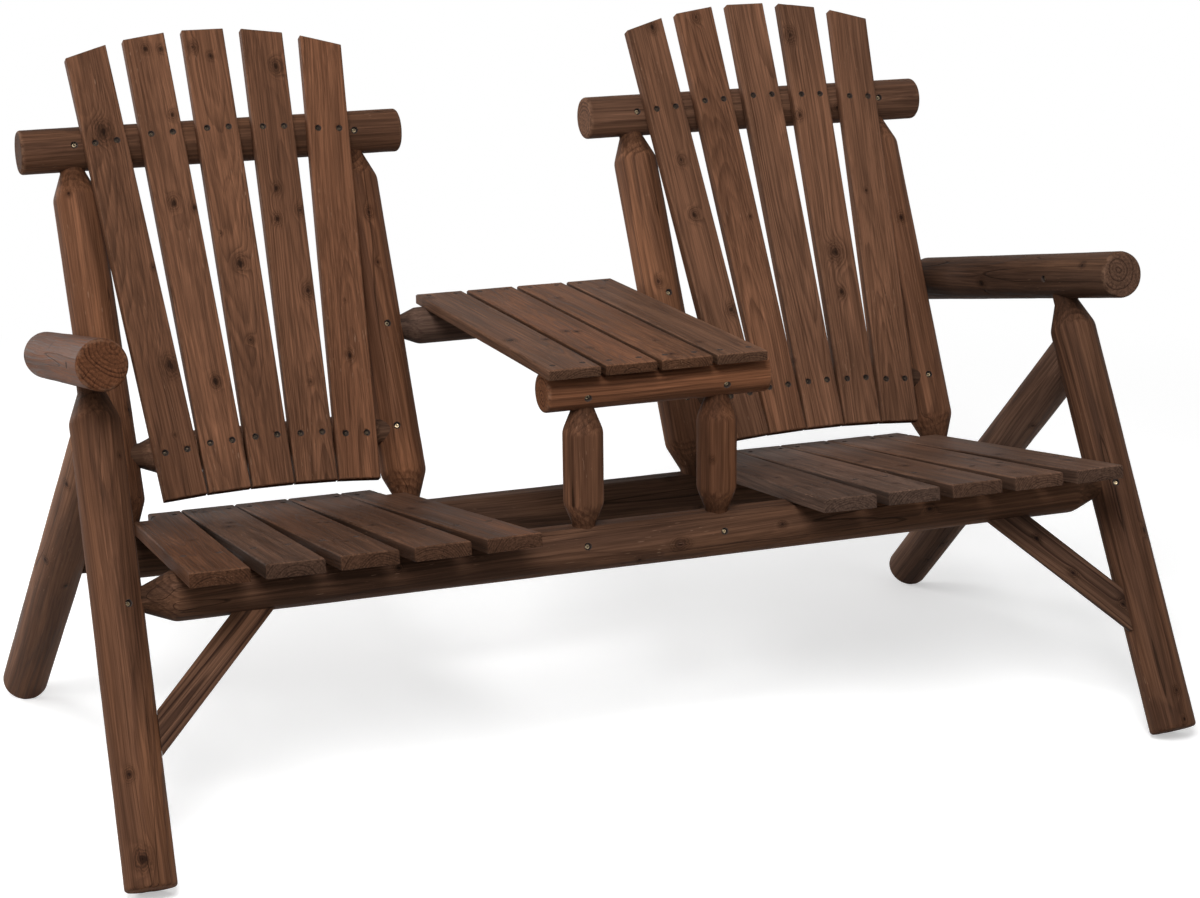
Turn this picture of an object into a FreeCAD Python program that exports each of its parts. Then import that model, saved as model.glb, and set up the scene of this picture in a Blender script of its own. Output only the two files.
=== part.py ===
import FreeCAD, Part
import os
import re
import Sketcher
from FreeCAD import Vector

# Companion seat: two slatted chairs that share one pair of seat rails and a table between them.
# Frame: +Z up, +Y towards the backs, +X to the sitter's left, origin on the floor in the middle.

SIZES = [
    ("chair_offset", 450, "middle of the bench to the middle of each chair"),
    ("seat_y", -391.4, "front edge of the seats"),
    ("seat_height", 421, "top of the seats at the front edge"),
    ("seat_tilt", 7.6, "fall of the seats to the back, degrees"),
    ("seat_slat_width", 80, "seat board"),
    ("seat_slat_thick", 20, "seat board"),
    ("seat_slat_length", 583, "seat board"),
    ("seat_front_pitch", 100.6, "seat boards apart at the front edge"),
    ("seat_rear_pitch", 81.5, "seat boards apart at the rear ends"),
    ("notch_gap", 1, "outer seat board's notch clear of the back post"),
    ("notch_width", 31, "notch in an outer seat board, across"),
    ("back_set", 490.1, "lower ends of the back boards behind the seats' front edge"),
    ("back_rise", 35.8, "lower ends of the back boards above the seat"),
    ("back_lean", 26.8, "back boards from upright, degrees"),
    ("back_slat_width", 64, "back board"),
    ("back_slat_thick", 18, "back board"),
    ("back_slat_pitch", 65.7, "back boards apart at their lower ends"),
    ("back_fan", 2.06, "turn from one back board to the next, degrees"),
    ("back_foot_drop", 1.1, "fall of the lower ends away from the middle board"),
    ("crown_top", 713, "length of the back at the middle"),
    ("crown_radius", 640, "arc that the upper ends follow"),
    ("top_rail_up", 551, "top rail above the lower ends, along the back"),
    ("top_rail_half", 293.5, "half length of the top rail"),
    ("top_rail_radius", 33.5, "log of the top rail"),
    ("low_rail_up", 74, "lower back rail above the lower ends, along the back"),
    ("low_rail_radius", 30, "log of the lower back rail"),
    ("post_offset", 216, "middle of a chair to its back posts"),
    ("post_depth", 59, "back post behind the front face of the back boards"),
    ("post_radius", 35, "log of the back posts"),
    ("seat_rail_radius", 35, "logs under the seats"),
    ("seat_rail_flat", 3, "depth planed off the top of the seat rails"),
    ("front_rail_set", 148, "front seat rail behind the front edge, along the seat"),
    ("rear_rail_set", 534, "rear seat rail behind the front edge, along the seat"),
    ("leg_radius", 35, "log of the front legs"),
    ("leg_foot_x", 770.8, "front leg at the floor, from the middle"),
    ("leg_foot_y", -438.5, "front leg at the floor"),
    ("leg_lean", 28.1, "front leg from upright, degrees"),
    ("leg_splay", 1.9, "front leg outwards to the floor, degrees"),
    ("rear_leg_radius", 35, "log of the rear legs"),
    ("rear_foot_x", 779.6, "rear leg's centre line at the floor, from the middle"),
    ("rear_foot_y", 465.7, "rear leg's centre line at the floor"),
    ("rear_lean", 48.4, "rear leg from upright, degrees"),
    ("rear_splay", 2.6, "rear leg outwards to the floor, degrees"),
    ("heel_trim", 3, "depth trimmed level off a foot's lowest corner"),
    ("arm_radius", 35, "log of the arms"),
    ("arm_front_x", 760.5, "front end of the arm, from the middle"),
    ("arm_front_y", -255.1, "front end of the arm"),
    ("arm_front_z", 672.2, "front end of the arm, centre height"),
    ("arm_slope", 10.3, "fall of the arm to the back, degrees"),
    ("arm_tail", 48, "arm past the back post's centre"),
    ("table_y", -299.4, "front edge of the table"),
    ("table_height", 619.7, "top of the table at the front edge"),
    ("table_tilt", 0.2, "fall of the table to the back, degrees"),
    ("table_rail_set", 46.9, "table's front rail behind the table's front edge, along the table"),
    ("table_slat_width", 76, "table board"),
    ("table_slat_thick", 15, "table board"),
    ("table_slat_length", 596, "table board"),
    ("table_slat_pitch", 83.3, "table boards apart"),
    ("table_log_radius", 29, "logs of the table"),
    ("table_log_flat", 3, "depth planed off the top of the table rails"),
    ("table_rail_left", 158, "table's front rail to the left of the middle"),
    ("table_rail_right", 180, "table's front rail to the right of the middle"),
    ("table_post_left", 97, "left table post from the middle"),
    ("table_post_right", 106, "right table post from the middle"),
    ("brace_left_radius", 21, "half log of the left brace"),
    ("brace_right_radius", 24, "half log of the right brace"),
    ("brace_front", 13, "sawn face of a brace in front of the leg's centre line"),
    ("brace_left_foot", 181, "left brace's centre line on the leg's, above the floor along the leg"),
    ("brace_right_foot", 167, "right brace's centre line on the leg's, above the floor along the leg"),
    ("brace_angle", 43.7, "brace from the leg, degrees"),
    ("brace_toe", 172, "brace's blunt tip above the floor, along the leg"),
    ("cone_taper", 0.4, "radius that a log's cone loses per length"),
    ("tenon_radius", 19, "round tenon at the small end of a log's cone"),
    ("table_tenon_radius", 17, "round tenon of the table's logs"),
    ("tenon_stop", 8, "end of a tenon short of the other log's centre"),
    ("joint_gap", 0.3, "clearance round a tenon, under its shoulder and under a coped end"),
    ("log_edge", 3, "bevel at a log's square end"),
    ("slat_edge", 2, "bevel round a board's face"),
    ("deep", 2000, "reach of the cutting blocks"),
]

# Places that follow from the sizes, all in the bench's own frame. A "set" is the distance from the
# centre line of one log to the shoulder of the tenon that enters it.
PLACES = [
    ("seat_rail_drop", "seat_slat_thick + seat_rail_radius - seat_rail_flat"),
    ("front_rail_y", "seat_y + front_rail_set * cos(seat_tilt) - seat_rail_drop * sin(seat_tilt)"),
    ("front_rail_z", "seat_height - front_rail_set * sin(seat_tilt) - seat_rail_drop * cos(seat_tilt)"),
    ("rear_rail_y", "seat_y + rear_rail_set * cos(seat_tilt) - seat_rail_drop * sin(seat_tilt)"),
    ("rear_rail_z", "seat_height - rear_rail_set * sin(seat_tilt) - seat_rail_drop * cos(seat_tilt)"),
    ("front_rail_half", "leg_foot_x - front_rail_z * tan(leg_splay)"),
    ("rear_rail_half", "rear_foot_x - rear_rail_z * tan(rear_splay)"),
    ("leg_side_set", "(leg_radius + joint_gap + tenon_radius * sin(leg_splay)) / cos(leg_splay)"),
    ("rear_side_set", "(rear_leg_radius + joint_gap + tenon_radius * sin(rear_splay)) / cos(rear_splay)"),
    ("seat_rail_crown", "seat_rail_radius - seat_rail_flat + joint_gap"),
    ("back_y", "seat_y + back_set"),
    ("back_height", "seat_height - back_set * tan(seat_tilt) + back_rise"),
    ("post_y", "back_y + post_depth * cos(back_lean)"),
    ("post_z", "back_height - post_depth * sin(back_lean)"),
    ("post_slant", "back_lean - seat_tilt"),
    ("post_low", "(rear_rail_y - post_y) * sin(back_lean) + (rear_rail_z - post_z) * cos(back_lean)"),
    ("post_miss", "(rear_rail_y - post_y) * cos(back_lean) - (rear_rail_z - post_z) * sin(back_lean)"),
    ("post_foot_set", "(seat_rail_crown + (tenon_radius - post_miss) * sin(post_slant)) / cos(post_slant)"),
    ("post_head_set", "top_rail_radius + joint_gap"),
    ("post_side_set", "post_radius + joint_gap"),
    ("seat_cross_rise", "seat_height - post_z - (post_y - seat_y) * tan(seat_tilt)"),
    ("seat_cross", "seat_cross_rise / (cos(back_lean) + sin(back_lean) * tan(seat_tilt))"),
    ("post_at_seat", "(post_y + seat_cross * sin(back_lean) - seat_y) / cos(seat_tilt)"),
    ("neck_radius", "tenon_radius + cone_taper * (seat_cross - post_low - post_foot_set)"),
    ("notch_front", "post_at_seat - neck_radius / cos(post_slant) - notch_gap"),
    ("arm_cross_rise", "arm_front_z - post_z - (post_y - arm_front_y) * tan(arm_slope)"),
    ("arm_cross", "arm_cross_rise / (cos(back_lean) + sin(back_lean) * tan(arm_slope))"),
    ("arm_run", "post_y + arm_cross * sin(back_lean) - arm_front_y"),
    ("arm_rear_x", "chair_offset + post_offset + post_radius + arm_radius + 2 * joint_gap"),
    ("arm_toe", "atan((arm_front_x - arm_rear_x) / arm_run)"),
    ("arm_length", "arm_run / (cos(arm_slope) * cos(arm_toe)) + arm_tail"),
    ("leg_head_rise", "arm_front_z + (arm_front_y - leg_foot_y) * tan(arm_slope)"),
    ("leg_head_z", "leg_head_rise / (1 + tan(leg_lean) * tan(arm_slope))"),
    ("leg_start", "(leg_radius * sin(leg_lean) - heel_trim) / cos(leg_lean)"),
    ("leg_length", "leg_head_z / (cos(leg_lean) * cos(leg_splay)) - leg_start"),
    ("leg_slant", "leg_lean - arm_slope"),
    ("leg_head_set", "(arm_radius + joint_gap + tenon_radius * sin(leg_slant)) / cos(leg_slant)"),
    ("legs_meet_z", "(rear_foot_y - leg_foot_y) / (tan(leg_lean) + tan(rear_lean))"),
    ("rear_leg_start", "(rear_leg_radius * sin(rear_lean) - heel_trim) / cos(rear_lean)"),
    ("rear_leg_length", "legs_meet_z / (cos(rear_lean) * cos(rear_splay)) - rear_leg_start"),
    ("brace_left_length", "(front_rail_z / cos(leg_lean) - brace_left_foot) / cos(brace_angle)"),
    ("brace_right_length", "(front_rail_z / cos(leg_lean) - brace_right_foot) / cos(brace_angle)"),
    ("table_rail_drop", "table_slat_thick + table_log_radius - table_log_flat"),
    ("table_rail_zero", "table_height + table_y * tan(table_tilt) - table_rail_drop / cos(table_tilt)"),
    ("table_front_y", "table_y + table_rail_set * cos(table_tilt) - table_rail_drop * sin(table_tilt)"),
    ("table_front_z", "table_rail_zero - table_front_y * tan(table_tilt)"),
    ("table_rear_fit", "post_y + (table_rail_zero - post_z) * tan(back_lean)"),
    ("table_rear_y", "table_rear_fit / (1 + tan(table_tilt) * tan(back_lean))"),
    ("table_rear_z", "table_rail_zero - table_rear_y * tan(table_tilt)"),
    ("table_rear_half", "chair_offset - post_offset"),
    ("table_post_rise", "table_front_z - front_rail_z"),
    ("table_post_lean", "atan((table_front_y - front_rail_y) / table_post_rise)"),
    ("table_post_length", "table_post_rise / cos(table_post_lean)"),
    ("table_post_slant", "seat_tilt - table_post_lean"),
    ("table_foot_rise", "seat_rail_crown + table_tenon_radius * sin(table_post_slant)"),
    ("table_foot_set", "table_foot_rise / cos(table_post_slant)"),
    ("table_head_set", "table_log_radius + joint_gap"),
]

CHAIR_SIDES = (("left", -1), ("right", 1))
BOARDS = (-2, -1, 0, 1, 2)
WHOLE_TURN = 360
HALF_TURN = 180

doc = FreeCAD.newDocument("CompanionSeat")
nodes = []


def fill_sheet():
    """Write the driving dimensions into the sheet, one row each."""
    sheet = doc.addObject("Spreadsheet::Sheet", "Size")
    for row, (alias, value, note) in enumerate(SIZES, start=1):
        sheet.set("A%d" % row, alias)
        sheet.set("B%d" % row, str(value))
        sheet.set("C%d" % row, note)
        sheet.setAlias("B%d" % row, alias)
    doc.recompute()
    return sheet


SIZE_NAMES = {alias for alias, value, note in SIZES}
PLACE_NAMES = {alias for alias, text in PLACES}


def qualify(text):
    """Add the owner's name to each size and place in an expression."""
    def owner(match):
        word = match.group(0)
        if word in SIZE_NAMES:
            return "Size." + word
        if word in PLACE_NAMES:
            return "Place." + word
        return word
    return re.sub(r"[a-z_]+", owner, text)


def bind(item, path, text):
    item.setExpression(path, qualify(text))


def fill_places():
    """Hold the derived places as bound values of one variable set."""
    places = doc.addObject("App::VarSet", "Place")
    for alias, text in PLACES:
        places.addProperty("App::PropertyFloat", alias)
        bind(places, alias, text)
    doc.recompute()


# Placements as expression text.

def moved(x, y, z):
    return "placement(vector(%s; %s; %s); rotation(vector(0; 0; 1); 0))" % (x, y, z)


def turned(x, y, z, axis, angle):
    axes = {"x": "1; 0; 0", "y": "0; 1; 0", "z": "0; 0; 1"}
    return "placement(vector(%s; %s; %s); rotation(vector(%s); %s))" % (x, y, z, axes[axis], angle)


def back_frame(side):
    """Front face of the back: x across, y up along the boards, z out of the face."""
    return turned("%d * chair_offset" % side, "back_y", "back_height", "x", "90 - back_lean")


def seat_frame(side):
    """Top of the seat: x across, y towards the back, z out of the face."""
    return turned("%d * chair_offset" % side, "seat_y", "seat_height", "x", "-seat_tilt")


def table_frame():
    return turned("0", "table_y", "table_height", "x", "-table_tilt")


def leg_frame(side):
    """z runs up the front leg from the floor, y out of the plane of leg and rail."""
    foot = turned("%d * leg_foot_x" % side, "leg_foot_y", "0", "y", "%d * leg_splay" % -side)
    return foot + " * " + turned("0", "0", "0", "x", "-leg_lean")


def rear_leg_frame(side):
    foot = turned("%d * rear_foot_x" % side, "rear_foot_y", "0", "y", "%d * rear_splay" % -side)
    return foot + " * " + turned("0", "0", "0", "x", "rear_lean")


def arm_frame(side):
    """z runs from the arm's front end to its rear end."""
    front = turned("%d * arm_front_x" % side, "arm_front_y", "arm_front_z", "z", "%d * arm_toe" % side)
    return front + " * " + turned("0", "0", "0", "x", "-90 - arm_slope")


def post_frame(side, hand):
    """z runs up a back post from beside the centre of the rear seat rail."""
    return back_frame(side) + " * " + turned("%d * post_offset" % hand, "post_low", "-post_depth", "x", "-90")


def along_x(left, y, z):
    """z of the piece runs along the bench from its left end."""
    return turned(left, y, z, "y", "90")


# Sketches and bodies.

def new_body(name, plane_role):
    body = doc.addObject("PartDesign::Body", name)
    plane = [item for item in body.Origin.OriginFeatures if item.Role == plane_role][0]
    sketch = body.newObject("Sketcher::SketchObject", name + "_Outline")
    sketch.AttachmentSupport = [(plane, "")]
    sketch.MapMode = "FlatFace"
    return body, sketch


def draw_outline(sketch, corners):
    """Closed outline through corners given as pairs of expression texts, "0" for on the axis."""
    start_ring = 100.0
    count = len(corners)
    points = []
    for number in range(count):
        turn = FreeCAD.Rotation(Vector(0, 0, 1), WHOLE_TURN * number / count)
        points.append(turn.multVec(Vector(start_ring, 0, 0)))
    for number in range(count):
        sketch.addGeometry(Part.LineSegment(points[number], points[(number + 1) % count]), False)
    for number in range(count):
        sketch.addConstraint(Sketcher.Constraint("Coincident", number, 2, (number + 1) % count, 1))
    for number, (across, up) in enumerate(corners):
        if across == "0":
            sketch.addConstraint(Sketcher.Constraint("PointOnObject", number, 1, -2))
        else:
            place = sketch.addConstraint(Sketcher.Constraint("DistanceX", -1, 1, number, 1, points[number].x))
            bind(sketch, "Constraints[%d]" % place, across)
        if up == "0":
            sketch.addConstraint(Sketcher.Constraint("PointOnObject", number, 1, -1))
        else:
            place = sketch.addConstraint(Sketcher.Constraint("DistanceY", -1, 1, number, 1, points[number].y))
            bind(sketch, "Constraints[%d]" % place, up)


def bevel(body, base, edges, size):
    """Bevel the named edges of a body's last feature."""
    feature = body.newObject("PartDesign::Chamfer", body.Name + "_Bevel")
    feature.Base = (base, edges)
    bind(feature, "Size", size)
    body.Tip = feature


def make_board(name, corners, thick, frame):
    """Flat board whose upper face is the outline, with its face's edges bevelled."""
    body, sketch = new_body(name, "XY_Plane")
    draw_outline(sketch, corners)
    pad = body.newObject("PartDesign::Pad", name + "_Pad")
    pad.Profile = sketch
    pad.Reversed = True
    bind(pad, "Length", thick)
    doc.recompute()
    face = max(pad.Shape.Faces, key=lambda item: item.CenterOfMass.z)
    edges = []
    for number, edge in enumerate(pad.Shape.Edges, start=1):
        if any(edge.isSame(other) for other in face.Edges):
            edges.append("Edge%d" % number)
    bevel(body, pad, edges, "slat_edge")
    bind(body, "Placement", frame)
    return body


def make_log(name, length, radius, tenon, frame, sets):
    """Turned log along z; each end is square, or coned to a tenon whose shoulder lies at its set."""
    body, sketch = new_body(name, "XZ_Plane")
    cone = "(%s - %s) / cone_taper" % (radius, tenon)
    low, high = sets
    corners = [("0", "0"), (radius, "0")]
    if low:
        corners = [
            ("0", "tenon_stop"),
            (tenon, "tenon_stop"),
            (tenon, low),
            (radius, "%s + %s" % (low, cone)),
        ]
    if high:
        corners += [
            (radius, "%s - %s - %s" % (length, high, cone)),
            (tenon, "%s - %s" % (length, high)),
            (tenon, "%s - tenon_stop" % length),
            ("0", "%s - tenon_stop" % length),
        ]
    else:
        corners += [(radius, length), ("0", length)]
    draw_outline(sketch, corners)
    turn = body.newObject("PartDesign::Revolution", name + "_Turn")
    turn.Profile = sketch
    turn.ReferenceAxis = (sketch, ["V_Axis"])
    turn.Angle = WHOLE_TURN
    doc.recompute()
    rims = square_rims(turn.Shape, [not low, not high])
    if rims:
        bevel(body, turn, rims, "log_edge")
    bind(body, "Placement", frame)
    return body


def square_rims(shape, square):
    """Names of the round edges at a log's square ends."""
    heights = [vertex.Point.z for vertex in shape.Vertexes]
    ends = [z for z, wanted in zip((min(heights), max(heights)), square) if wanted]
    rims = []
    for number, edge in enumerate(shape.Edges, start=1):
        if edge.isClosed() and any(abs(edge.CenterOfMass.z - z) < Part.Precision.confusion() for z in ends):
            rims.append("Edge%d" % number)
    return rims


# Cutting tools and joints.

def make_rod(name, radius, length, frame, angle=WHOLE_TURN):
    rod = doc.addObject("Part::Cylinder", name)
    bind(rod, "Radius", radius)
    bind(rod, "Height", length)
    rod.Angle = angle
    bind(rod, "Placement", frame)
    return rod


def make_block(name, frame):
    """Large block with its lower face on the frame's plane, centred on the frame."""
    block = doc.addObject("Part::Box", name)
    for side in ("Length", "Width", "Height"):
        bind(block, side, "deep")
    bind(block, "Placement", frame + " * " + moved("-deep / 2", "-deep / 2", "0"))
    return block


def cut(name, base, tools):
    result = base
    for number, tool in enumerate(tools, start=1):
        step = doc.addObject("Part::Cut", "%s_Cut%d" % (name, number))
        step.Base = result
        step.Tool = tool
        result = step
    return result


class Log:
    """A log with the tools that shape it: sets are the shoulders of its tenons, None for square ends."""

    def __init__(self, name, length, radius, frame, sets=(None, None), tenon="tenon_radius"):
        self.name = name
        self.length = length
        self.radius = radius
        self.frame = frame
        self.sets = sets
        self.tenon = tenon
        self.body = make_log(name, length, radius, tenon, frame, sets)
        self.tools = []

    def envelope(self, suffix):
        """Rod a little larger than this log, to cope another piece's end."""
        frame = self.frame + " * " + moved("0", "0", "-log_edge")
        length = "%s + 2 * log_edge" % self.length
        return make_rod(self.name + suffix, self.radius + " + joint_gap", length, frame)

    def socket(self, end):
        """Hole in another log for the tenon at this log's low end (0) or high end (1)."""
        depth = "%s - tenon_stop + joint_gap" % self.sets[end]
        start = "%s - %s" % (self.length, self.sets[end]) if end else "tenon_stop - joint_gap"
        frame = self.frame + " * " + moved("0", "0", start)
        return make_rod("%s_Socket%d" % (self.name, end), self.tenon + " + joint_gap", depth, frame)

    def finish(self):
        keep(cut(self.name, self.body, self.tools), self.name)


def keep(item, label):
    item.Label = label
    nodes.append((label, item))


# Boards of the back, the seat and the table.

def crown_corner(number, hand):
    """Height of a back board's upper corner, where its edge meets the crown's arc."""
    edge_x = "(%d * back_slat_pitch + %d * back_slat_width / 2 * cos(%d * back_fan))" % (number, hand, number)
    edge_y = "(%s - %d * back_slat_width / 2 * sin(%d * back_fan))" % (foot_drop(number), hand, number)
    down = "(%s - crown_top + crown_radius)" % edge_y
    along = "(%s * sin(%d * back_fan) + %s * cos(%d * back_fan))" % (edge_x, number, down, number)
    away = "(%s^2 + %s^2)" % (edge_x, down)
    return "sqrt(%s^2 - %s + crown_radius^2) - %s" % (along, away, along)


def foot_drop(number):
    return "(-%d * back_foot_drop)" % number ** 2


def back_board(side_name, side, number):
    half = "back_slat_width / 2"
    corners = [
        ("-" + half, "0"),
        (half, "0"),
        (half, crown_corner(number, 1)),
        ("-" + half, crown_corner(number, -1)),
    ]
    place = turned("%d * back_slat_pitch" % number, foot_drop(number), "0", "z", "%d * back_fan" % -number)
    name = "back_slat_%s_%d" % (side_name, number - BOARDS[0] + 1)
    keep(make_board(name, corners, "back_slat_thick", back_frame(side) + " * " + place), name)


def seat_board(side_name, side, number):
    half = "seat_slat_width / 2"
    left, right = "-" + half, half
    corners = [(left, "0"), (right, "0"), (right, "seat_slat_length"), (left, "seat_slat_length")]
    if number == BOARDS[0]:
        notch = "-(%s - notch_width)" % half
        corners[3:] = [(notch, "seat_slat_length"), (notch, "notch_front"), (left, "notch_front")]
    if number == BOARDS[-1]:
        notch = "%s - notch_width" % half
        corners[2:3] = [(right, "notch_front"), (notch, "notch_front"), (notch, "seat_slat_length")]
    spread = "atan(%d * (seat_front_pitch - seat_rear_pitch) / seat_slat_length)" % number
    place = turned("%d * seat_front_pitch" % number, "0", "0", "z", spread)
    name = "seat_slat_%s_%d" % (side_name, number - BOARDS[0] + 1)
    keep(make_board(name, corners, "seat_slat_thick", seat_frame(side) + " * " + place), name)


def table_board(number):
    half = "table_slat_width / 2"
    corners = [("-" + half, "0"), (half, "0"), (half, "table_slat_length"), ("-" + half, "table_slat_length")]
    place = moved("%s * table_slat_pitch" % (number - 2.5), "0", "0")
    name = "table_slat_%d" % number
    keep(make_board(name, corners, "table_slat_thick", table_frame() + " * " + place), name)


# Logs.

def plane_top(rail, flat, slope):
    """Plane the top of a rail that runs along the bench, level with the boards on it."""
    upright = rail.frame + " * " + turned("0", "0", "0", "y", "-90") + " * " + turned("0", "0", "0", "x", slope)
    rail.tools.append(make_block(rail.name + "_Plane", upright + " * " + moved("0", "0", rail.radius + " - " + flat)))


def rail_between(name, half, y, z, radius, side_set, tenon="tenon_radius"):
    return Log(name, "2 * " + half, radius, along_x("-" + half, y, z), (side_set, side_set), tenon)


def build_logs():
    front_rail = rail_between("front_seat_rail", "front_rail_half", "front_rail_y", "front_rail_z",
                              "seat_rail_radius", "leg_side_set")
    rear_rail = rail_between("rear_seat_rail", "rear_rail_half", "rear_rail_y", "rear_rail_z",
                             "seat_rail_radius", "rear_side_set")
    for rail in (front_rail, rear_rail):
        plane_top(rail, "seat_rail_flat", "-seat_tilt")

    table_front = Log("table_front_rail", "table_rail_left + table_rail_right", "table_log_radius",
                      along_x("-table_rail_left", "table_front_y", "table_front_z"))
    table_rear = rail_between("table_rear_rail", "table_rear_half", "table_rear_y", "table_rear_z",
                              "table_log_radius", "post_side_set")
    for rail in (table_front, table_rear):
        plane_top(rail, "table_log_flat", "-table_tilt")

    for hand_name, place in (("left", "-table_post_left"), ("right", "table_post_right")):
        foot = turned(place, "front_rail_y", "front_rail_z", "x", "-table_post_lean")
        post = Log("table_post_" + hand_name, "table_post_length", "table_log_radius", foot,
                   ("table_foot_set", "table_head_set"), "table_tenon_radius")
        front_rail.tools.append(post.socket(0))
        table_front.tools.append(post.socket(1))
        post.finish()

    floor = make_block("Floor", turned("0", "0", "0", "x", "180"))
    for end, (side_name, side) in enumerate(CHAIR_SIDES):
        build_back(side_name, side, end, rear_rail, table_rear)
        build_end(side_name, side, end, front_rail, rear_rail, floor)

    for rail in (front_rail, rear_rail, table_front, table_rear):
        rail.finish()


def build_back(side_name, side, end, rear_rail, table_rear):
    """Posts and rails of one chair's back; end is 0 at the long rails' left ends, 1 at their right."""
    top_place = along_x("-top_rail_half", "top_rail_up", "-back_slat_thick - top_rail_radius - joint_gap")
    top_rail = Log("top_rail_" + side_name, "2 * top_rail_half", "top_rail_radius",
                   back_frame(side) + " * " + top_place)
    low_place = along_x("-post_offset", "low_rail_up", "-back_slat_thick - low_rail_radius - joint_gap")
    low_rail = Log("low_rail_" + side_name, "2 * post_offset", "low_rail_radius",
                   back_frame(side) + " * " + low_place, ("post_side_set", "post_side_set"))

    for low_end, hand in enumerate((-1, 1)):
        place_name = "outer" if hand == side else "inner"
        post = Log("back_post_%s_%s" % (side_name, place_name), "(top_rail_up - post_low)", "post_radius",
                   post_frame(side, hand), ("post_foot_set", "post_head_set"))
        rear_rail.tools.append(post.socket(0))
        top_rail.tools.append(post.socket(1))
        post.tools.append(low_rail.socket(low_end))
        if place_name == "inner":
            post.tools.append(table_rear.socket(end))
        post.finish()
    top_rail.finish()
    low_rail.finish()


def build_end(side_name, side, end, front_rail, rear_rail, floor):
    """Legs, arm and brace at one end of the bench; end is 0 at the rails' left ends, 1 at their right."""
    arm = Log("arm_" + side_name, "arm_length", "arm_radius", arm_frame(side))
    leg = Log("front_leg_" + side_name, "leg_length", "leg_radius",
              leg_frame(side) + " * " + moved("0", "0", "leg_start"), (None, "leg_head_set"))
    arm.tools.append(leg.socket(1))
    leg.tools += [floor, front_rail.socket(end)]
    arm.finish()
    leg.finish()

    rear_leg = Log("rear_leg_" + side_name, "rear_leg_length", "rear_leg_radius",
                   rear_leg_frame(side) + " * " + moved("0", "0", "rear_leg_start"))
    rear_leg.tools += [floor, leg.envelope("_Rear"), rear_rail.socket(end)]
    rear_leg.finish()

    name = "brace_" + side_name
    place = turned("0", "-brace_front", name + "_foot", "y", "%d * brace_angle" % -side)
    half_log = make_rod("Half_log_" + side_name, name + "_radius", name + "_length",
                        leg_frame(side) + " * " + place, HALF_TURN)
    toe = make_block("Toe_" + side_name, leg_frame(side) + " * " + turned("0", "0", "brace_toe", "x", "180"))
    tools = [leg.envelope("_Brace"), front_rail.envelope("_" + side_name), toe]
    keep(cut(name, half_log, tools), name)


def check_document():
    """Stop if any feature failed or any node is not one sound solid."""
    doc.recompute()
    for item in doc.Objects:
        if "Invalid" in item.State or "Error" in item.State:
            raise RuntimeError("failed feature: %s %s" % (item.Label, item.State))
    for label, item in nodes:
        if item.Shape.isNull() or not item.Shape.isValid():
            raise RuntimeError("unsound shape: " + label)
        if len(item.Shape.Solids) != 1:
            raise RuntimeError("%s has %d solids" % (label, len(item.Shape.Solids)))


def write_nodes():
    os.makedirs("parts", exist_ok=True)
    for label, item in nodes:
        item.Shape.exportStep("parts/%s.step" % label)


fill_sheet()
fill_places()
for side_name, side in CHAIR_SIDES:
    for number in BOARDS:
        back_board(side_name, side, number)
        seat_board(side_name, side, number)
for number in range(1, 5):
    table_board(number)
build_logs()
check_document()
write_nodes()
print("nodes", len(nodes))
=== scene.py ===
import math
import random
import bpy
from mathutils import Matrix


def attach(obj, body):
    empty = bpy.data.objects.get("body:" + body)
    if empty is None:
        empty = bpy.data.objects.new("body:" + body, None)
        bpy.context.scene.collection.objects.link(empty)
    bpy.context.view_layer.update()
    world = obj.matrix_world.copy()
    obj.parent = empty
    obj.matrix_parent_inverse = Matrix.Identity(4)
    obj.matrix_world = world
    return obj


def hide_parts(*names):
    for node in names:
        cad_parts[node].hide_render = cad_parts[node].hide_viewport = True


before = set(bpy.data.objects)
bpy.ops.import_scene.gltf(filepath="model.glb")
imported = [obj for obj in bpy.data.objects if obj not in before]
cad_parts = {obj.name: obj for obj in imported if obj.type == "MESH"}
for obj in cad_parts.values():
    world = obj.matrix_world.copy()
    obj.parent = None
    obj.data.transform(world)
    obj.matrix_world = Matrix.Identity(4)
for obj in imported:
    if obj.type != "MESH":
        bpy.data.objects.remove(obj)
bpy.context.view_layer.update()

from types import SimpleNamespace

import bmesh
import bpy
import numpy as np
from mathutils import Euler, Matrix, Vector, noise

scene = bpy.context.scene
MM = 0.001

# Driving sizes in millimetres and degrees, the same as in the part

CHAIR_X = 450.0
SEAT_Y = -391.4
SEAT_Z = 421.0
SEAT_TILT = 7.6
SEAT_THICK = 20.0
SEAT_LENGTH = 583.0
SEAT_PITCH = 100.6
SEAT_REAR_PITCH = 81.5
FRONT_RAIL_SET = 148.0
REAR_RAIL_SET = 534.0

BACK_SET = 490.1
BACK_RISE = 35.8
BACK_LEAN = 26.8
BACK_THICK = 18.0
BACK_PITCH = 65.7
BACK_FAN = 2.06
BACK_DROP = 1.1
TOP_RAIL_UP = 551.0
TOP_RAIL_HALF = 293.5
TOP_RAIL_RADIUS = 33.5
LOW_RAIL_UP = 74.0
LOW_RAIL_RADIUS = 30.0
POST_OFFSET = 216.0
POST_DEPTH = 59.0

TABLE_Y = -299.4
TABLE_Z = 619.7
TABLE_TILT = 0.2
TABLE_THICK = 15.0
TABLE_PITCH = 83.3
TABLE_RAIL_SET = 46.9
TABLE_RAIL_LEFT = 158.0
TABLE_RAIL_RIGHT = 180.0
TABLE_LOG_RADIUS = 29.0
TABLE_TENON = 17.0
TABLE_POST_LEFT = -97.0
TABLE_POST_RIGHT = 106.0

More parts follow.
